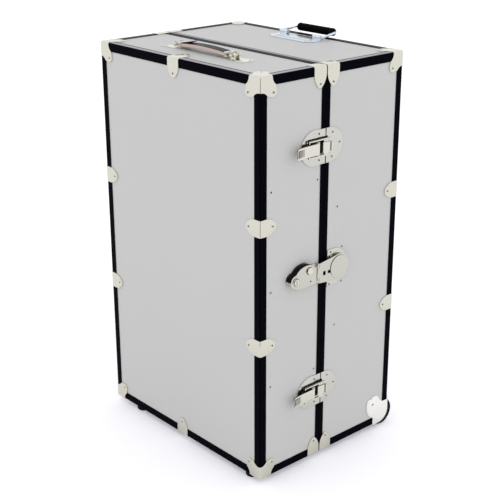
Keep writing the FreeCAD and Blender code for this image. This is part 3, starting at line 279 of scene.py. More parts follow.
def plated(name, colour, rough, wave=0.25, tarnish=0.05):
    """Plated pressed metal: small waves from the press, smudges and fine scratches."""
    made = Finish(name, colour, metallic=1.0)
    waves = made.noise(9.0 * MM, 1.0)
    smudge = made.noise(6.0 * MM, 4.0, offset=2.0)
    fine = made.noise(0.5 * MM, 2.0, stretch=(1.0, 0.06, 1.0), offset=4.0)
    spots = made.noise(1.6 * MM, 3.0, offset=9.0).step(0.66, 0.78)
    tone = made.tone(colour, 1.0 + (smudge - 0.5) * tarnish * 2.0)
    tone = made.mix(spots * tarnish * 3.0, tone, tuple(part * 0.5 for part in colour))
    roughness = rough + (smudge - 0.5) * 0.14 + spots * 0.2 + (fine - 0.5) * 0.05
    return made.dress(tone, roughness, relief=((waves, wave * MM), (fine, 0.008 * MM)))


def rubber(name, grey, rough=0.62, shine=0.25):
    """Moulded black rubber with a fine skin and dust in its hollows."""
    made = Finish(name, (grey,) * 3, Specular_IOR_Level=shine)
    skin = made.noise(0.7 * MM, 3.0)
    dust = made.noise(7.0 * MM, 4.0, offset=6.0).step(0.50, 0.85)
    colour = made.mix(dust * 0.35, (grey, grey, grey * 1.1), (grey * 3.0, grey * 3.0, grey * 3.0))
    return made.dress(colour, rough + (skin - 0.5) * 0.2, relief=((skin, 0.06 * MM),))


def well_lining():
    """Dark textured liner of the wheel wells."""
    made = Finish("well_liner", (0.02, 0.02, 0.022), Specular_IOR_Level=0.3)
    grain = made.noise(1.2 * MM, 3.0)
    return made.dress(made.tone((0.022, 0.022, 0.024), 0.7 + grain * 0.6), 0.6 + grain * 0.2,
                      relief=((grain, 0.10 * MM),))


def leather():
    """Black glazed leather with fine creases. The cut edges are raw and tan."""
    made = Finish("black_leather", (0.01, 0.01, 0.01), Specular_IOR_Level=0.05)
    crease = made.cells(1.3 * MM, "DISTANCE_TO_EDGE", stretch=(1.0, 0.6, 1.0)).step(0.0, 0.16)
    bend = made.noise(4.0 * MM, 4.0, stretch=(0.4, 1.6, 1.0), offset=2.0)
    shine = made.noise(9.0 * MM, 2.0, offset=8.0)
    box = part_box("carry_strap")
    inset = (made.x - box[0][0]).least(box[1][0] - made.x)
    edge = 1.0 - inset.step(0.15 * MM, 0.6 * MM)
    layers = ((made.z - box[0][2]) * 3600.0 + made.noise(3.0 * MM) * 2.0).sine()
    black = made.tone((0.008, 0.008, 0.011), 0.75 + bend * 0.5)
    tan = made.mix(layers * 0.5 + 0.5, (0.60, 0.44, 0.39), (0.78, 0.65, 0.61))
    rough = 0.34 + (shine - 0.5) * 0.25 + edge * 0.35
    return made.dress(made.mix(edge, black, tan), rough, relief=((crease, 0.05 * MM), (bend, 0.12 * MM)))


def cloth(name, colour):
    """Woven lining cloth glued on board."""
    made = Finish(name, colour)
    weave = (made.x * 4200.0).sine() * (made.z * 4200.0).sine() + (made.y * 4200.0).sine()
    slub = made.noise(3.0 * MM, 3.0, stretch=(1.0, 0.2, 1.0))
    return made.dress(made.tone(colour, 0.92 + weave * 0.06 + slub * 0.16), 0.85 + slub * 0.1,
                      relief=((weave, 0.05 * MM), (slub, 0.06 * MM)))


def wood(name, colour):
    """Lacquered beech: growth rings drawn out along the piece."""
    made = Finish(name, colour, Coat_Weight=0.35, Coat_Roughness=0.15)
    rings = made.noise(5.0 * MM, 3.0, stretch=(1.0, 0.08, 1.0))
    pore = made.noise(0.5 * MM, 2.0, stretch=(1.0, 0.03, 1.0), offset=3.0)
    bands = (rings * 40.0).sine()
    tone = made.tone(colour, 0.95 + bands * 0.09 + (pore - 0.5) * 0.25)
    return made.dress(tone, 0.38 + (pore - 0.5) * 0.2, relief=((pore, 0.03 * MM),))


finishes = {
    "laminate": laminate(),
    "edge_trim": edge_trim(),
    "nickel": plated("nickel", (0.715, 0.70, 0.62), 0.16),
    "latch_nickel": plated("latch_nickel", (0.75, 0.73, 0.66), 0.10, wave=0.18, tarnish=0.04),
    "steel": plated("plain_steel", (0.60, 0.60, 0.60), 0.30),
    "zinc": plated("zinc_plate", (0.70, 0.76, 0.83), 0.22, wave=0.5),
    "aluminium": plated("aluminium", (0.74, 0.74, 0.75), 0.36),
    "rail": plated("rail_chrome", (0.78, 0.78, 0.79), 0.12),
    "pull": plated("pull_nickel", (0.80, 0.78, 0.74), 0.25),
    "foot_rubber": rubber("foot_rubber", 0.004, shine=0.08),
    "wheel_rubber": rubber("wheel_rubber", 0.002, 0.55, 0.03),
    "grip_rubber": rubber("grip_rubber", 0.0015, 0.50, 0.03),
    "well_lining": well_lining(),
    "leather": leather(),
    "drawer_lining": cloth("drawer_cloth", (0.20, 0.20, 0.22)),
    "hanger_wood": wood("hanger_wood", (0.50, 0.30, 0.15)),
}
# black material of painted shade and dark reflection: on turned walls of latches and lock, in rivet hollows
# and in grooves
painted_shade_black = rubber("painted_shade_returns", 0.006, 0.40, 0.05)
plate_nickel = plated("plate_nickel", (0.64, 0.635, 0.595), 0.18)
lock_nickel = plated("lock_nickel", (0.62, 0.61, 0.555), 0.16)
satin_nickel = plated("satin_nickel", (0.98, 0.955, 0.95), 0.34)
# black felt sheets put where there is only shadow: painted shadow
painted_shadow_felt = cloth("painted_shadow_felt", (0.004, 0.004, 0.004))
hub_plastic = rubber("hub_plastic", 0.06, 0.40)
black_vinyl = rubber("black_vinyl", 0.004, 0.45, 0.05)
thread = cloth("waxed_thread", (0.30, 0.28, 0.26))

for name, thing in frame["nodes"].items():
    if thing.data.materials:
        for number in range(len(thing.data.materials)):
            thing.data.materials[number] = finishes[record_slots[name]]
    else:
        thing.data.materials.append(finishes[record_slots[name]])


# ---------------------------------------------------------------- mesh helpers
def body_of(node):
    return frame["nodes"][node]["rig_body"]


def paint_wall_shade(shell, rise):
    """Gives the second material, black painted shade, to faces that turn aside and rise enough, but not on
    the hasp barrel.
    """
    barrel = low("hasp", 0) - 0.5 * MM, low("hasp", 0) + 9.5 * MM
    for face in shell.faces:
        turned = abs(face.normal.y) < 0.72 and face.normal.z > rise
        face.material_index = int(turned and not barrel[0] < face.calc_center_median().x < barrel[1])


def piece(name, shell, node, finish=None, smooth=40.0, stands_for=(), shade_rise=None):
    """Makes an object of a mesh. It rides on the body of that node and takes its slot.

    The last argument paints black shade and dark reflection on the walls that turn aside and whose normals
    rise more than it.
    """
    shell.normal_update()
    for face in shell.faces:
        face.material_index = 0
    if shade_rise is not None:
        paint_wall_shade(shell, shade_rise)
    mesh = bpy.data.meshes.new(name)
    shell.to_mesh(mesh)
    shell.free()
    mesh.shade_smooth()
    mesh.set_sharp_from_angle(angle=math.radians(smooth))
    made = bpy.data.objects.new(name, mesh)
    bpy.context.scene.collection.objects.link(made)
    slot = record_slots[node]
    mesh.materials.append(finish or finishes[slot])
    if shade_rise is not None:
        mesh.materials.append(painted_shade_black)
    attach(made, body_of(node))
    if stands_for:
        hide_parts(*stands_for)
    return made


def shell_of(*nodes):
    """A merged copy of the mesh of some nodes, with its flat faces whole."""
    shell = bmesh.new()
    for node in nodes:
        shell.from_mesh(frame["nodes"][node].data)
    bmesh.ops.remove_doubles(shell, verts=shell.verts, dist=2e-6)
    bmesh.ops.dissolve_limit(shell, angle_limit=math.radians(0.6), verts=shell.verts, edges=shell.edges)
    return shell


def ease(shell, width, angle=30.0, segments=3):
    """Rounds the sharp edges of a shell."""
    sharp = [edge for edge in shell.edges
             if len(edge.link_faces) == 2 and edge.calc_face_angle() > math.radians(angle)]
    bmesh.ops.bevel(shell, geom=sharp, offset=width, segments=segments, profile=0.5, affect="EDGES",
                    clamp_overlap=True)
    return shell


def lumps(node):
    """The lowest and highest corner of every separate lump of a node."""
    shell = shell_of(node)
    waiting = set(shell.verts)
    found = []
    while waiting:
        edge_of_search = [waiting.pop()]
        lump = list(edge_of_search)
        while edge_of_search:
            vert = edge_of_search.pop()
            for other in (edge.other_vert(vert) for edge in vert.link_edges):
                if other in waiting:
                    waiting.discard(other)
                    edge_of_search.append(other)
                    lump.append(other)
        spans = [[vert.co[axis] for vert in lump] for axis in range(3)]
        found.append((Vector(min(span) for span in spans), Vector(max(span) for span in spans)))
    shell.free()
    return found


def revolve(profile, turns=32):
    """Spins points of (radius, height) round +Z. It closes where the radius is 0."""
    shell = bmesh.new()
    rings = []
    for radius, height in profile:
        steps = turns if radius > 0.0 else 1
        rings.append([
            shell.verts.new((radius * math.cos(math.tau * step / turns),
                             radius * math.sin(math.tau * step / turns), height)) for step in range(steps)])
    for first, second in zip(rings, rings[1:]):
        for step in range(turns):
            after = (step + 1) % turns
            corners = [first[step % len(first)], first[after % len(first)],
                       second[after % len(second)], second[step % len(second)]]
            shell.faces.new(list(dict.fromkeys(corners)))
    bmesh.ops.recalc_face_normals(shell, faces=shell.faces)
    return shell


def aimed(shell, place, aim):
    """Turns a shell from +Z to a direction and moves it to a place."""
    turn = Vector(aim).to_track_quat("Z", "Y").to_matrix().to_4x4()
    shell.transform(Matrix.Translation(place) @ turn)
    return shell


def slab(low_corner, high_corner, rounding=0.0, segments=2):
    """A block between two corners, with rounded edges."""
    shell = bmesh.new()
    size = Vector(high_corner) - Vector(low_corner)
    bmesh.ops.create_cube(shell, size=1.0)
    middle_place = (Vector(high_corner) + Vector(low_corner)) / 2
    shell.transform(Matrix.Translation(middle_place) @ Matrix.Diagonal((*size, 1.0)))
    if rounding:
        bmesh.ops.bevel(shell, geom=list(shell.edges), offset=rounding, segments=segments, profile=0.5,
                        affect="EDGES", clamp_overlap=True)
    return shell


def rounded_path(points, radius, steps=6):
    """Points of a path whose inner corners are bent to an arc."""
    points = [Vector(point) for point in points]
    path = [points[0]]
    for before, corner, after in zip(points, points[1:], points[2:]):
        start = corner + (before - corner).normalized() * radius
        end = corner + (after - corner).normalized() * radius
        for step in range(steps + 1):
            share = step / steps
            path.append(start * (1 - share) ** 2 + corner * 2 * share * (1 - share) + end * share ** 2)
    return path + [points[-1]]


def tube(path, radius, turns=16):
    """A round wire along the points of a path, with closed ends."""
    shell = bmesh.new()
    rings = []
    side = None
    for number, point in enumerate(path):
        ahead = path[min(number + 1, len(path) - 1)] - path[max(number - 1, 0)]
        ahead.normalize()
        if side is None:
            side = ahead.orthogonal().normalized()
        side = (side - ahead * side.dot(ahead)).normalized()
        across = ahead.cross(side)
        rings.append([
            shell.verts.new(point + (side * math.cos(math.tau * step / turns)
                                     + across * math.sin(math.tau * step / turns)) * radius)
            for step in range(turns)])
    for first, second in zip(rings, rings[1:]):
        for step in range(turns):
            after = (step + 1) % turns
            shell.faces.new((first[step], first[after], second[after], second[step]))
    for ring in (rings[0], rings[-1]):
        shell.faces.new(ring)
    bmesh.ops.recalc_face_normals(shell, faces=shell.faces)
    return shell


def added(shell, *others):
    """Puts other shells into a shell."""
    for other in others:
        mesh = bpy.data.meshes.new("joining")
        other.to_mesh(mesh)
        other.free()
        shell.from_mesh(mesh)
        bpy.data.meshes.remove(mesh)
    return shell


# ---------------------------------------------------------------- what repeats: one shape on many seats
def seating_tree(finish):
    """A node tree that sets a copy of a shape on every seat, turned to the seat's aim."""
    tree = bpy.data.node_groups.new("shape_on_seats", "GeometryNodeTree")
    sockets = {}
    for label, kind in (("Seats", "NodeSocketGeometry"), ("Shape", "NodeSocketObject"),
                        ("Size", "NodeSocketFloat"), ("Loose Turn", "NodeSocketFloat"),
                        ("Seed", "NodeSocketInt")):
        sockets[label] = tree.interface.new_socket(name=label, in_out="INPUT", socket_type=kind).identifier
    tree.interface.new_socket(name="Made", in_out="OUTPUT", socket_type="NodeSocketGeometry")

    def node(kind, settings=(), **inputs):
        made = tree.nodes.new(kind)
        for label, value in dict(settings).items():
            setattr(made, label, value)
        for label, value in inputs.items():
            entry = made.inputs[label.replace("_", " ")]
            if isinstance(value, bpy.types.NodeSocket):
                tree.links.new(value, entry)
            else:
                entry.default_value = value
        return made

    given = node("NodeGroupInput")
    aim = node("GeometryNodeInputNamedAttribute", {"data_type": "FLOAT_VECTOR"}, Name="aim")
    scale = node("GeometryNodeInputNamedAttribute", {"data_type": "FLOAT"}, Name="scale")
    shape = node("GeometryNodeObjectInfo", {}, Object=given.outputs["Shape"])
    upright = node("FunctionNodeAlignRotationToVector", {"axis": "Z"}, Vector=aim.outputs["Attribute"])
    chance = node("FunctionNodeRandomValue", {"data_type": "FLOAT"}, Seed=given.outputs["Seed"])
    turn = node("ShaderNodeMath", {"operation": "MULTIPLY"})
    tree.links.new(chance.outputs["Value"], turn.inputs[0])
    tree.links.new(given.outputs["Loose Turn"], turn.inputs[1])
    spin = node("FunctionNodeAxisAngleToRotation", {}, Axis=(0.0, 0.0, 1.0), Angle=turn.outputs[0])
    turned = node("FunctionNodeRotateRotation", {"rotation_space": "LOCAL"},
                  Rotation=upright.outputs["Rotation"], Rotate_By=spin.outputs["Rotation"])
    size = node("ShaderNodeMath", {"operation": "MULTIPLY"})
    tree.links.new(scale.outputs["Attribute"], size.inputs[0])
    tree.links.new(given.outputs["Size"], size.inputs[1])
    copies = node("GeometryNodeInstanceOnPoints", {}, Points=given.outputs["Seats"],
                  Instance=shape.outputs["Geometry"], Rotation=turned.outputs["Rotation"],
                  Scale=size.outputs[0])
    real = node("GeometryNodeRealizeInstances", {}, Geometry=copies.outputs["Instances"])
    dressed = node("GeometryNodeSetMaterial", {}, Geometry=real.outputs["Geometry"], Material=finish)
    result = node("NodeGroupOutput")
    tree.links.new(dressed.outputs["Geometry"], result.inputs["Made"])
    return tree, sockets


def repeated(name, shape, seats, node, finish, stands_for=(), loose_turn=0.0, seed=1, smooth=40.0):
    """Sets a shape on seats of (place, aim, scale). It ends as one plain mesh on the node's body."""
    shape_mesh = bpy.data.meshes.new(name + "_shape")
    shape.to_mesh(shape_mesh)
    shape.free()
    shape_mesh.shade_smooth()
    shape_thing = bpy.data.objects.new(name + "_shape", shape_mesh)
    seat_mesh = bpy.data.meshes.new(name + "_seats")
    seat_mesh.from_pydata([tuple(place) for place, aim, scale in seats], [], [])
    aims = seat_mesh.attributes.new("aim", "FLOAT_VECTOR", "POINT")
    aims.data.foreach_set("vector", [part for place, aim, scale in seats for part in aim])
    scales = seat_mesh.attributes.new("scale", "FLOAT", "POINT")
    scales.data.foreach_set("value", [scale for place, aim, scale in seats])
    holder = bpy.data.objects.new(name + "_holder", seat_mesh)
    for thing in (shape_thing, holder):
        bpy.context.scene.collection.objects.link(thing)
    tree, sockets = seating_tree(finish)
    modifier = holder.modifiers.new("seating", "NODES")
    modifier.node_group = tree
    for label, value in (("Shape", shape_thing), ("Size", 1.0), ("Loose Turn", loose_turn), ("Seed", seed)):
        modifier[sockets[label]] = value
    graph = bpy.context.evaluated_depsgraph_get()
    grown = bpy.data.meshes.new_from_object(holder.evaluated_get(graph))
    holder.modifiers.clear()
    for thing in (holder, shape_thing):
        bpy.data.objects.remove(thing)
    bpy.data.node_groups.remove(tree)
    shell = bmesh.new()
    shell.from_mesh(grown)
    bpy.data.meshes.remove(grown)
    return piece(name, shell, node, finish, smooth, stands_for)


# ---------------------------------------------------------------- pressed and cast metal, eased
eased_nodes = {
    "drawer_corner_caps": (0.55, None), "hanging_corner_caps": (0.55, None),
    "drawer_clamps": (0.5, None), "hanging_clamps": (0.5, None), "wheel_corner_plates": (0.5, satin_nickel),
    "latch_plates": (0.45, plate_nickel), "latch_catches": (0.45, plate_nickel),
    "lock_keeper": (0.45, plate_nickel),
    "carry_handle_plates": (0.3, None), "carry_end_caps": (0.3, None), "tow_plate": (0.4, None),
    "hinge_leaves_drawer": (0.3, None), "hinge_leaves_hanging": (0.3, None),
}
SIDES_TOO, TOP_ONLY = -0.35, 0.1     # how far the normals of the walls with painted black shade rise
# the turned walls of these pieces take painted black shade and dark reflection
shade_walled_nodes = {
    "lower_latch_lever": (0.4, None, SIDES_TOO), "upper_latch_lever": (0.4, None, SIDES_TOO),
    "lower_latch_link": (0.35, None, SIDES_TOO), "upper_latch_link": (0.35, None, SIDES_TOO),
    "lock_case": (0.35, lock_nickel, TOP_ONLY), "hasp": (0.4, lock_nickel, SIDES_TOO),
}
for node, (width, finish) in eased_nodes.items():
    piece(node + "_eased", ease(shell_of(node), width * MM), node, finish, stands_for=(node,))
for node, (width, finish, rise) in shade_walled_nodes.items():
    piece(node + "_eased", ease(shell_of(node), width * MM), node, finish, stands_for=(node,),
          shade_rise=rise)

# ---------------------------------------------------------------- rivets: a rolled ring round a hollow, with painted shade in the hollow
RIVET_RADIUS, RIVET_HEIGHT, HOLLOW = 3.4 * MM, 1.3 * MM, 2.1 * MM
rivet_ring = [
    (0.0, -0.2), (2.05, -0.2), (2.1, 0.7), (2.25, 1.05), (2.6, 1.2), (3.0, 1.0), (3.3, 0.5), (3.4, -0.1)]
# a black disc low in each ring's hollow is painted shade
rivet_hollow_shade = [(0.0, 0.35 * MM), (HOLLOW * 0.6, 0.3 * MM), (HOLLOW, 0.1 * MM)]


def rivet_seats(node):
    """A seat for a ring on every rivet head of a node: its place, the way it faces and its scale."""
    seats = []
    for low_corner, high_corner in lumps(node):
        size, centre = high_corner - low_corner, (high_corner + low_corner) / 2
        axis = min(range(3), key=lambda number: size[number])
        way = 1.0 if centre[axis] > middle[axis] else -1.0
        aim = Vector([way if number == axis else 0.0 for number in range(3)])
        crown = high_corner[axis] if way > 0 else low_corner[axis]
        place = centre.copy()
        place[axis] = crown - way * RIVET_HEIGHT
        seats.append((place, aim, max(size) / 2 / RIVET_RADIUS))
    return seats


for half in ("drawer", "hanging"):
    node = half + "_rivets"
    seats = rivet_seats(node)
    ring = revolve([(radius * MM, height * MM) for radius, height in rivet_ring], 20)
    repeated(node + "_heads", ring, seats, node, finishes["nickel"], stands_for=(node,),
             loose_turn=6.28, seed=3)
    # the black discs in the hollows are painted shade
    repeated(node + "_hollows", revolve(rivet_hollow_shade, 12), seats, node, painted_shade_black, seed=3)

# ---------------------------------------------------------------- black pieces of latches and lock that paint their shade and shadows
PAD_FLOOR, PAD_FACE = front - 1.45 * MM, front - 1.85 * MM
# name, plate, from and to right of the seam, from and to above the middle of the latch, in mm
# black felt pads lie where the slot, the wire and the catch are in shadow: painted shadow
latch_shadow_pads = (
    ("slot", "latch_plates", -29.0, -6.0, -13.6, 13.6), ("wire", "latch_plates", -59.0, -1.6, 14.0, 24.0),
    ("catch", "latch_catches", 1.6, 6.0, 14.0, 24.0), ("low", "latch_plates", -46.0, -16.0, -17.2, -14.0),
)
# size of the black strip that paints the shadow beside the claw
CLAW_SHADOW_START, CLAW_SHADOW_END, CLAW_SHADOW_HALF = 5.2 * MM, 8.6 * MM, 11.0 * MM
# dark lines along the lever's thumb tab paint the shade in the grooves between its ribs
# left of the seam and proud of the trims, in mm
tab_groove_shades = ((89.8, 16.1), (95.0, 17.3), (100.2, 18.7))
GROOVE_HALF, GROOVE_RADIUS = 8.2 * MM, 0.95 * MM

for level, lever in (("lower", "lower_latch_lever"), ("upper", "upper_latch_lever")):
    z = mid(lever, 2)
    for name, plate, start, end, under, over in latch_shadow_pads:
        shadow_pad = slab((seam + start * MM, PAD_FACE, z + under * MM),
                   (seam + end * MM, PAD_FLOOR, z + over * MM), 0.12 * MM, 1)
        piece(f"{level}_{name}_pad", shadow_pad, plate, painted_shadow_felt)
    link = level + "_latch_link"
    # a black strip at the claw's step paints the shadow of the gap beside the claw
    claw_shade = slab((seam + CLAW_SHADOW_START, low(link, 1) - 0.3 * MM, z - CLAW_SHADOW_HALF),
                  (seam + CLAW_SHADOW_END, low(link, 1) + 0.6 * MM, z + CLAW_SHADOW_HALF), 0.3 * MM)
    piece(level + "_claw_buffer", claw_shade, link, painted_shadow_felt)
    groove_shades = bmesh.new()
    for along, proud in tab_groove_shades:
        x, y = seam - along * MM, front - proud * MM
        run = [Vector((x, y, z - GROOVE_HALF)), Vector((x, y, z + GROOVE_HALF))]
        added(groove_shades, tube(run, GROOVE_RADIUS, 10))
    # the tab's dark lines are painted shade
    piece(level + "_tab_grooves", groove_shades, lever, painted_shade_black)


def shade_ring_round(name, node, over, grow, width):
    """A black ring round a turned piece of the lock, on the face of the case: painted shade of a groove."""
    centre = centre_of(node)
    inner = (high(node, 0) - low(node, 0)) / 2 + grow
    outer = inner + width
    ring = revolve([(inner, -0.3 * MM), (inner, 0.08 * MM), ((inner + outer) / 2, 0.14 * MM),
                    (outer, 0.08 * MM), (outer, -0.3 * MM)], 36)
    piece(name, aimed(ring, (centre.x, over, centre.z), (0.0, -1.0, 0.0)), "lock_case", painted_shade_black)


boss_face, case_face = low("lock_case", 1), low("lock_case", 1) + 1.6 * MM
# painted shade rings round the key cylinder and the push button
shade_ring_round("cylinder_groove", "key_cylinder", boss_face, 0.35 * MM, 1.0 * MM)
shade_ring_round("button_groove", "push_button", case_face, 0.3 * MM, 1.1 * MM)

# ---------------------------------------------------------------- wheels
TREAD_DEPTH, AXLE_BORE, DISH = 9.0 * MM, 5.06 * MM, 5.0 * MM
SPOKES, TREADS = 10, 56


def two_sided(points, half):
    """Points of (radius, distance in from the side) for one side, then the other, as a closed loop."""
    one = [(reach, -half + depth) for reach, depth in points]
    other = [(reach, half - depth) for reach, depth in reversed(points)]
    return one + other + [one[0]]


for wheel in ("front_wheel", "back_wheel"):
    centre = centre_of(wheel)
    radius = (high(wheel, 2) - low(wheel, 2)) / 2
    half = (high(wheel, 1) - low(wheel, 1)) / 2
    rim = radius - TREAD_DEPTH
    tyre = revolve(two_sided([
        (rim, 2.0 * MM), (rim + 1.5 * MM, 0.0), (radius - 5.0 * MM, 0.0), (radius - 1.6 * MM, 2.0 * MM),
        (radius - 0.7 * MM, 5.0 * MM)], half), 72)
    bmesh.ops.remove_doubles(tyre, verts=tyre.verts, dist=1e-7)
    piece(wheel + "_tyre", aimed(tyre, centre, (0.0, 1.0, 0.0)), wheel, stands_for=(wheel,))
    hub_half = half - DISH
    hub = revolve(two_sided([
        (AXLE_BORE, 0.0), (AXLE_BORE + 4.0 * MM, 0.0), (AXLE_BORE + 6.0 * MM, 1.0 * MM),
        (AXLE_BORE + 6.6 * MM, DISH), (rim - 6.0 * MM, DISH), (rim - 3.0 * MM, 2.5 * MM),
        (rim, 2.0 * MM)], half), 72)
    bmesh.ops.remove_doubles(hub, verts=hub.verts, dist=1e-7)
    piece(wheel + "_hub", aimed(hub, centre, (0.0, 1.0, 0.0)), wheel, hub_plastic)
    spokes, treads = [], []
    for step in range(SPOKES):
        turn = math.tau * step / SPOKES
        out = Vector((math.cos(turn), 0.0, math.sin(turn)))
        for way in (-1, 1):
            place = centre + out * (AXLE_BORE + 13.0 * MM) + Vector((0.0, way * hub_half, 0.0))
            spokes.append((place, out, 1.0))
    for step in range(TREADS):
        turn = math.tau * (step + 0.5) / TREADS
        out = Vector((math.cos(turn), 0.0, math.sin(turn)))
        treads.append((centre + out * (radius - 0.9 * MM), out, 1.0))
    rib = slab((-1.3 * MM, -1.1 * MM, -8.0 * MM), (1.3 * MM, 1.1 * MM, 8.5 * MM), 0.4 * MM)
    repeated(wheel + "_spokes", rib, spokes, wheel, hub_plastic)
    bar = slab((-1.5 * MM, -6.5 * MM, -0.3 * MM), (1.5 * MM, 6.5 * MM, 0.85 * MM), 0.25 * MM, 1)
    repeated(wheel + "_treads", bar, treads, wheel, finishes["wheel_rubber"])

# ---------------------------------------------------------------- tow handle
WIRE, STUB, ELBOW, ARM_END, GRIP_ENTRY = 3.0 * MM, 44.0 * MM, 80.0 * MM, 69.0 * MM, 50.0 * MM
RING_PITCH, RING_MARGIN = 4.0 * MM, 20.0 * MM
grip_middle = centre_of("tow_grip")
hinge = Vector((low("tow_bail", 0) + WIRE, grip_middle.y, low("tow_bail", 2) + WIRE))
for way, side in ((-1, "near"), (1, "far")):
    run = [(hinge.x, hinge.y + way * STUB, hinge.z), (hinge.x, hinge.y + way * ELBOW, hinge.z),
           (grip_middle.x, hinge.y + way * ARM_END, grip_middle.z),
           (grip_middle.x, hinge.y + way * GRIP_ENTRY, grip_middle.z)]
    piece(f"tow_{side}_arm", tube(rounded_path(run, 5.0 * MM), WIRE, 20), "tow_bail",
          stands_for=("tow_bail",) if way < 0 else ())
radius = (high("tow_grip", 2) - low("tow_grip", 2)) / 2
half = (high("tow_grip", 1) - low("tow_grip", 1)) / 2
grip_side = [
    (WIRE, 0.0), (radius - 2.6 * MM, 0.0), (radius - 0.6 * MM, 1.2 * MM), (radius, 3.5 * MM),
    (radius, 7.0 * MM), (radius - 0.8 * MM, 8.0 * MM)]
grip = revolve(two_sided(grip_side, half)[:-1], 48)
piece("tow_grip_sleeve", aimed(grip, grip_middle, (0.0, 1.0, 0.0)), "tow_grip", stands_for=("tow_grip",))
ring = revolve([(radius - 1.2 * MM, -1.0 * MM), (radius - 0.3 * MM, -0.7 * MM), (radius - 0.15 * MM, 0.0),
                (radius - 0.3 * MM, 0.7 * MM), (radius - 1.2 * MM, 1.0 * MM)], 32)
count = int((2 * half - RING_MARGIN) / RING_PITCH)
rings = [(grip_middle + Vector((0.0, (number - (count - 1) / 2) * RING_PITCH, 0.0)), (0.0, 1.0, 0.0), 1.0)
         for number in range(count)]
repeated("tow_grip_rings", ring, rings, "tow_grip", finishes["grip_rubber"])

# ---------------------------------------------------------------- leather handle: flap and stitches
strap_low, strap_high = Vector(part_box("carry_strap")[0]), Vector(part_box("carry_strap")[1])
strap_thick, strap_rise = 9.5 * MM, strap_high.z - strap_low.z - 9.5 * MM
strap_half = (strap_high.y - strap_low.y) / 2
strap_y = (strap_high.y + strap_low.y) / 2
FLAP_START, FLAP_LENGTH, FLAP_STEPS, FLAP_SIDE = 9.0 * MM, 30.0 * MM, 16, 1.2 * MM
STITCH_PITCH, STITCH_SIDE = 4.8 * MM, 3.0 * MM


def strap_top(along):
    """Height of the strap's upper face at a distance from its middle."""
    return strap_low.z + strap_thick + strap_rise * (1.0 - (along / strap_half) ** 2)


flap = bmesh.new()
flap_rings = []
for step in range(FLAP_STEPS + 1):
    share = step / FLAP_STEPS
    along = strap_half - FLAP_START - share * FLAP_LENGTH
    lift = strap_top(along) + (0.1 + 5.3 * share ** 1.3) * MM
    thick = (1.4 + 0.8 * share) * MM
    flap_rings.append([flap.verts.new((x, strap_y + along, z)) for x, z in (
        (strap_low.x + FLAP_SIDE, lift), (strap_high.x - FLAP_SIDE, lift),
        (strap_high.x - FLAP_SIDE, lift - thick), (strap_low.x + FLAP_SIDE, lift - thick))])
for first, second in zip(flap_rings, flap_rings[1:]):
    for number in range(4):
        after = (number + 1) % 4
        flap.faces.new((first[number], first[after], second[after], second[number]))
flap.faces.new(flap_rings[0])
flap.faces.new(flap_rings[-1])
bmesh.ops.recalc_face_normals(flap, faces=flap.faces)
piece("strap_flap", ease(flap, 0.4 * MM, 50.0), "carry_strap", black_vinyl)
stitch_run = [(-1.6 * MM, 0.0, -0.5 * MM), (-1.2 * MM, 0.0, 0.25 * MM), (1.2 * MM, 0.0, 0.25 * MM),
              (1.6 * MM, 0.0, -0.5 * MM)]
stitch = tube(rounded_path(stitch_run, 0.4 * MM, 2), 0.28 * MM, 6)
stitch.transform(Matrix.Rotation(math.pi / 2, 4, "Z"))
strap_stitches = []
for side in (strap_low.x + STITCH_SIDE, strap_high.x - STITCH_SIDE):
    for number in range(-15, 9):
        along = number * STITCH_PITCH
        strap_stitches.append((Vector((side, strap_y + along, strap_top(along))), (0.0, 0.0, 1.0), 1.0))
repeated("strap_stitches", stitch, strap_stitches, "carry_strap", thread)

# ---------------------------------------------------------------- drawers
BINDING, BINDING_UNDER = 9.0 * MM, 0.3 * MM
STITCH_INSET, DRAWER_PITCH, STITCH_START = 6.8 * MM, 6.0 * MM, 8.0 * MM
for number in range(1, 5):
    box = f"drawer_{number}_box"
    piece(box + "_eased", ease(shell_of(box), 0.8 * MM), box, stands_for=(box,))
    face = high(box, 0)
    under, over, post = face - BINDING_UNDER, face + 0.5 * MM, face + 0.45 * MM
    y0, y1, z0, z1 = low(box, 1), high(box, 1), low(box, 2), high(box, 2)
    binding = added(
        slab((under, y0, z0), (over, y1, z0 + BINDING), 0.3 * MM),
        slab((under, y0, z1 - BINDING), (over, y1, z1), 0.3 * MM),
        slab((under, y0, z0), (post, y0 + BINDING, z1), 0.3 * MM),
        slab((under, y1 - BINDING, z0), (post, y1, z1), 0.3 * MM))
    piece(f"drawer_{number}_binding", binding, box, black_vinyl)
    seats = []
    across = int((y1 - y0 - 2 * STITCH_START) / DRAWER_PITCH)
    for z in (z0 + STITCH_INSET, z1 - STITCH_INSET):
        for step in range(across + 1):
            place = Vector((face + 0.35 * MM, y0 + STITCH_START + step * DRAWER_PITCH, z))
            seats.append((place, (1.0, 0.0, 0.0), 1.0))
    bar = slab((-0.25 * MM, -1.6 * MM, -0.2 * MM), (0.25 * MM, 1.6 * MM, 0.25 * MM))
    repeated(f"drawer_{number}_stitches", bar, seats, box, thread)
    pull = f"drawer_{number}_pull"
    piece(pull + "_eased", ease(shell_of(pull), 0.3 * MM, 40.0, 2), pull, stands_for=(pull,))

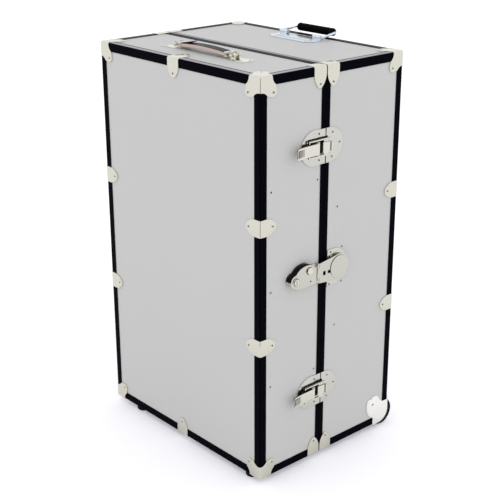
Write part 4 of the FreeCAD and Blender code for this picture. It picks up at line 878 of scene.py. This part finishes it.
# ---------------------------------------------------------------- hangers: shaped wood and a wire hook
rail_y, rail_z = mid("garment_rail", 1), mid("garment_rail", 2)
ARMS_TOP, HOOK_REACH, HOOK_WIRE, BOW_STEPS = rail_z - 28.2 * MM, 12.1 * MM, 1.9 * MM, 18
COLLAR = [(0.0, -1.0), (3.6, -1.0), (3.6, 0.8), (2.6, 1.8), (0.0, 1.8)]
for number in range(1, 4):
    node = f"hanger_{number}"
    x = mid(node, 0)
    arms = shell_of(node)
    hook_side = sum(vert.co.y - rail_y for vert in arms.verts
                    if rail_z - 20.0 * MM < vert.co.z < rail_z - 4.0 * MM)
    way = 1.0 if hook_side > 0 else -1.0
    cut = bmesh.ops.bisect_plane(arms, geom=arms.verts[:] + arms.edges[:] + arms.faces[:], dist=1e-6,
                                 plane_co=(0.0, 0.0, ARMS_TOP), plane_no=(0.0, 0.0, 1.0), clear_outer=True)
    edges = [item for item in cut["geom_cut"] if isinstance(item, bmesh.types.BMEdge)]
    bmesh.ops.contextual_create(arms, geom=edges)
    piece(node + "_arms", ease(arms, 2.2 * MM, 35.0, 4), node, stands_for=(node,))
    bow = []
    for step in range(BOW_STEPS + 1):
        turn = math.pi * step / BOW_STEPS
        bow.append(Vector((x, rail_y - way * HOOK_REACH * math.cos(turn),
                           rail_z + HOOK_REACH * math.sin(turn))))
    shank = rounded_path([bow[-1], (x, rail_y + way * 10.0 * MM, rail_z - 16.0 * MM),
                          (x, rail_y, rail_z - 24.0 * MM), (x, rail_y, rail_z - 36.0 * MM)], 7.0 * MM)
    piece(node + "_hook", tube(bow[:-1] + shank, HOOK_WIRE, 14), node, finishes["rail"])
    collar = revolve([(reach * MM, height * MM) for reach, height in COLLAR], 20)
    piece(node + "_collar", aimed(collar, (x, rail_y, ARMS_TOP), (0.0, 0.0, 1.0)), node, finishes["rail"])

# ---------------------------------------------------------------- studio
FLOOR_HALF, SHADE_HALF_ANGLE, SHADE_TURNS = 14.0, 9.0, 24
SHADE_PROFILE = ((1.35, 0.012), (6.0, 0.012), (6.0, 1.1), (6.0, 4.2), (5.0, 5.4))     # reach and height


def staged(name, shell, finish, unseen_by=()):
    """Makes a thing of the studio from a shell. Some kinds of rays can pass it by."""
    mesh = bpy.data.meshes.new(name)
    shell.to_mesh(mesh)
    shell.free()
    made = bpy.data.objects.new(name, mesh)
    bpy.context.scene.collection.objects.link(made)
    mesh.materials.append(finish)
    for kind in unseen_by:
        setattr(made, "visible_" + kind, False)


floor_paint = Finish("studio_floor", (0.9, 0.9, 0.9), Specular_IOR_Level=0.0)
seen = floor_paint.node("ShaderNodeLightPath", {})
straight = Field(floor_paint, seen.outputs["Is Camera Ray"]).most(
    Field(floor_paint, seen.outputs["Is Transmission Ray"]))
mirrored = Field(floor_paint, seen.outputs["Is Glossy Ray"])
floor_paint.shader.inputs["Emission Strength"].default_value = 1.0
floor_paint.put(floor_paint.shader.inputs["Emission Color"],
                floor_paint.mix(straight, (0.0, 0.0, 0.0), (0.27, 0.27, 0.31)))
floor_paint.dress(floor_paint.mix(mirrored, (0.86, 0.86, 0.86), (1.0, 1.0, 1.0)), 0.9)
floor_shell = bmesh.new()
bmesh.ops.create_grid(floor_shell, x_segments=1, y_segments=1, size=FLOOR_HALF)
staged("studio_floor", floor_shell, floor_paint.material)

# A dark card behind the camera, which only mirrors see: it gives the polished metal its darker side.
shade_shell = bmesh.new()
camera_way = Vector((camera_back.x, camera_back.y, 0.0)).normalized()
rings = []
for number in range(SHADE_TURNS + 1):
    turn = Matrix.Rotation(math.radians(SHADE_HALF_ANGLE) * (2.0 * number / SHADE_TURNS - 1.0), 3, "Z")
    rings.append([shade_shell.verts.new(turn @ (camera_way * reach) + Vector((0.0, 0.0, height)))
                  for reach, height in SHADE_PROFILE])
for first, second in zip(rings, rings[1:]):
    for number in range(len(SHADE_PROFILE) - 1):
        shade_shell.faces.new((first[number], second[number], second[number + 1], first[number + 1]))
shade_paint = Finish("studio_shade", (0.02, 0.02, 0.022), Specular_IOR_Level=0.0)
staged("studio_shade", shade_shell, shade_paint.material,
       unseen_by=("camera", "diffuse", "transmission", "volume_scatter", "shadow"))

world = bpy.data.worlds.new("studio")
world.use_nodes = True
bpy.context.scene.world = world
world.node_tree.nodes["Background"].inputs["Color"].default_value = (1.0, 1.0, 1.0, 1.0)
world.node_tree.nodes["Background"].inputs["Strength"].default_value = 1.0
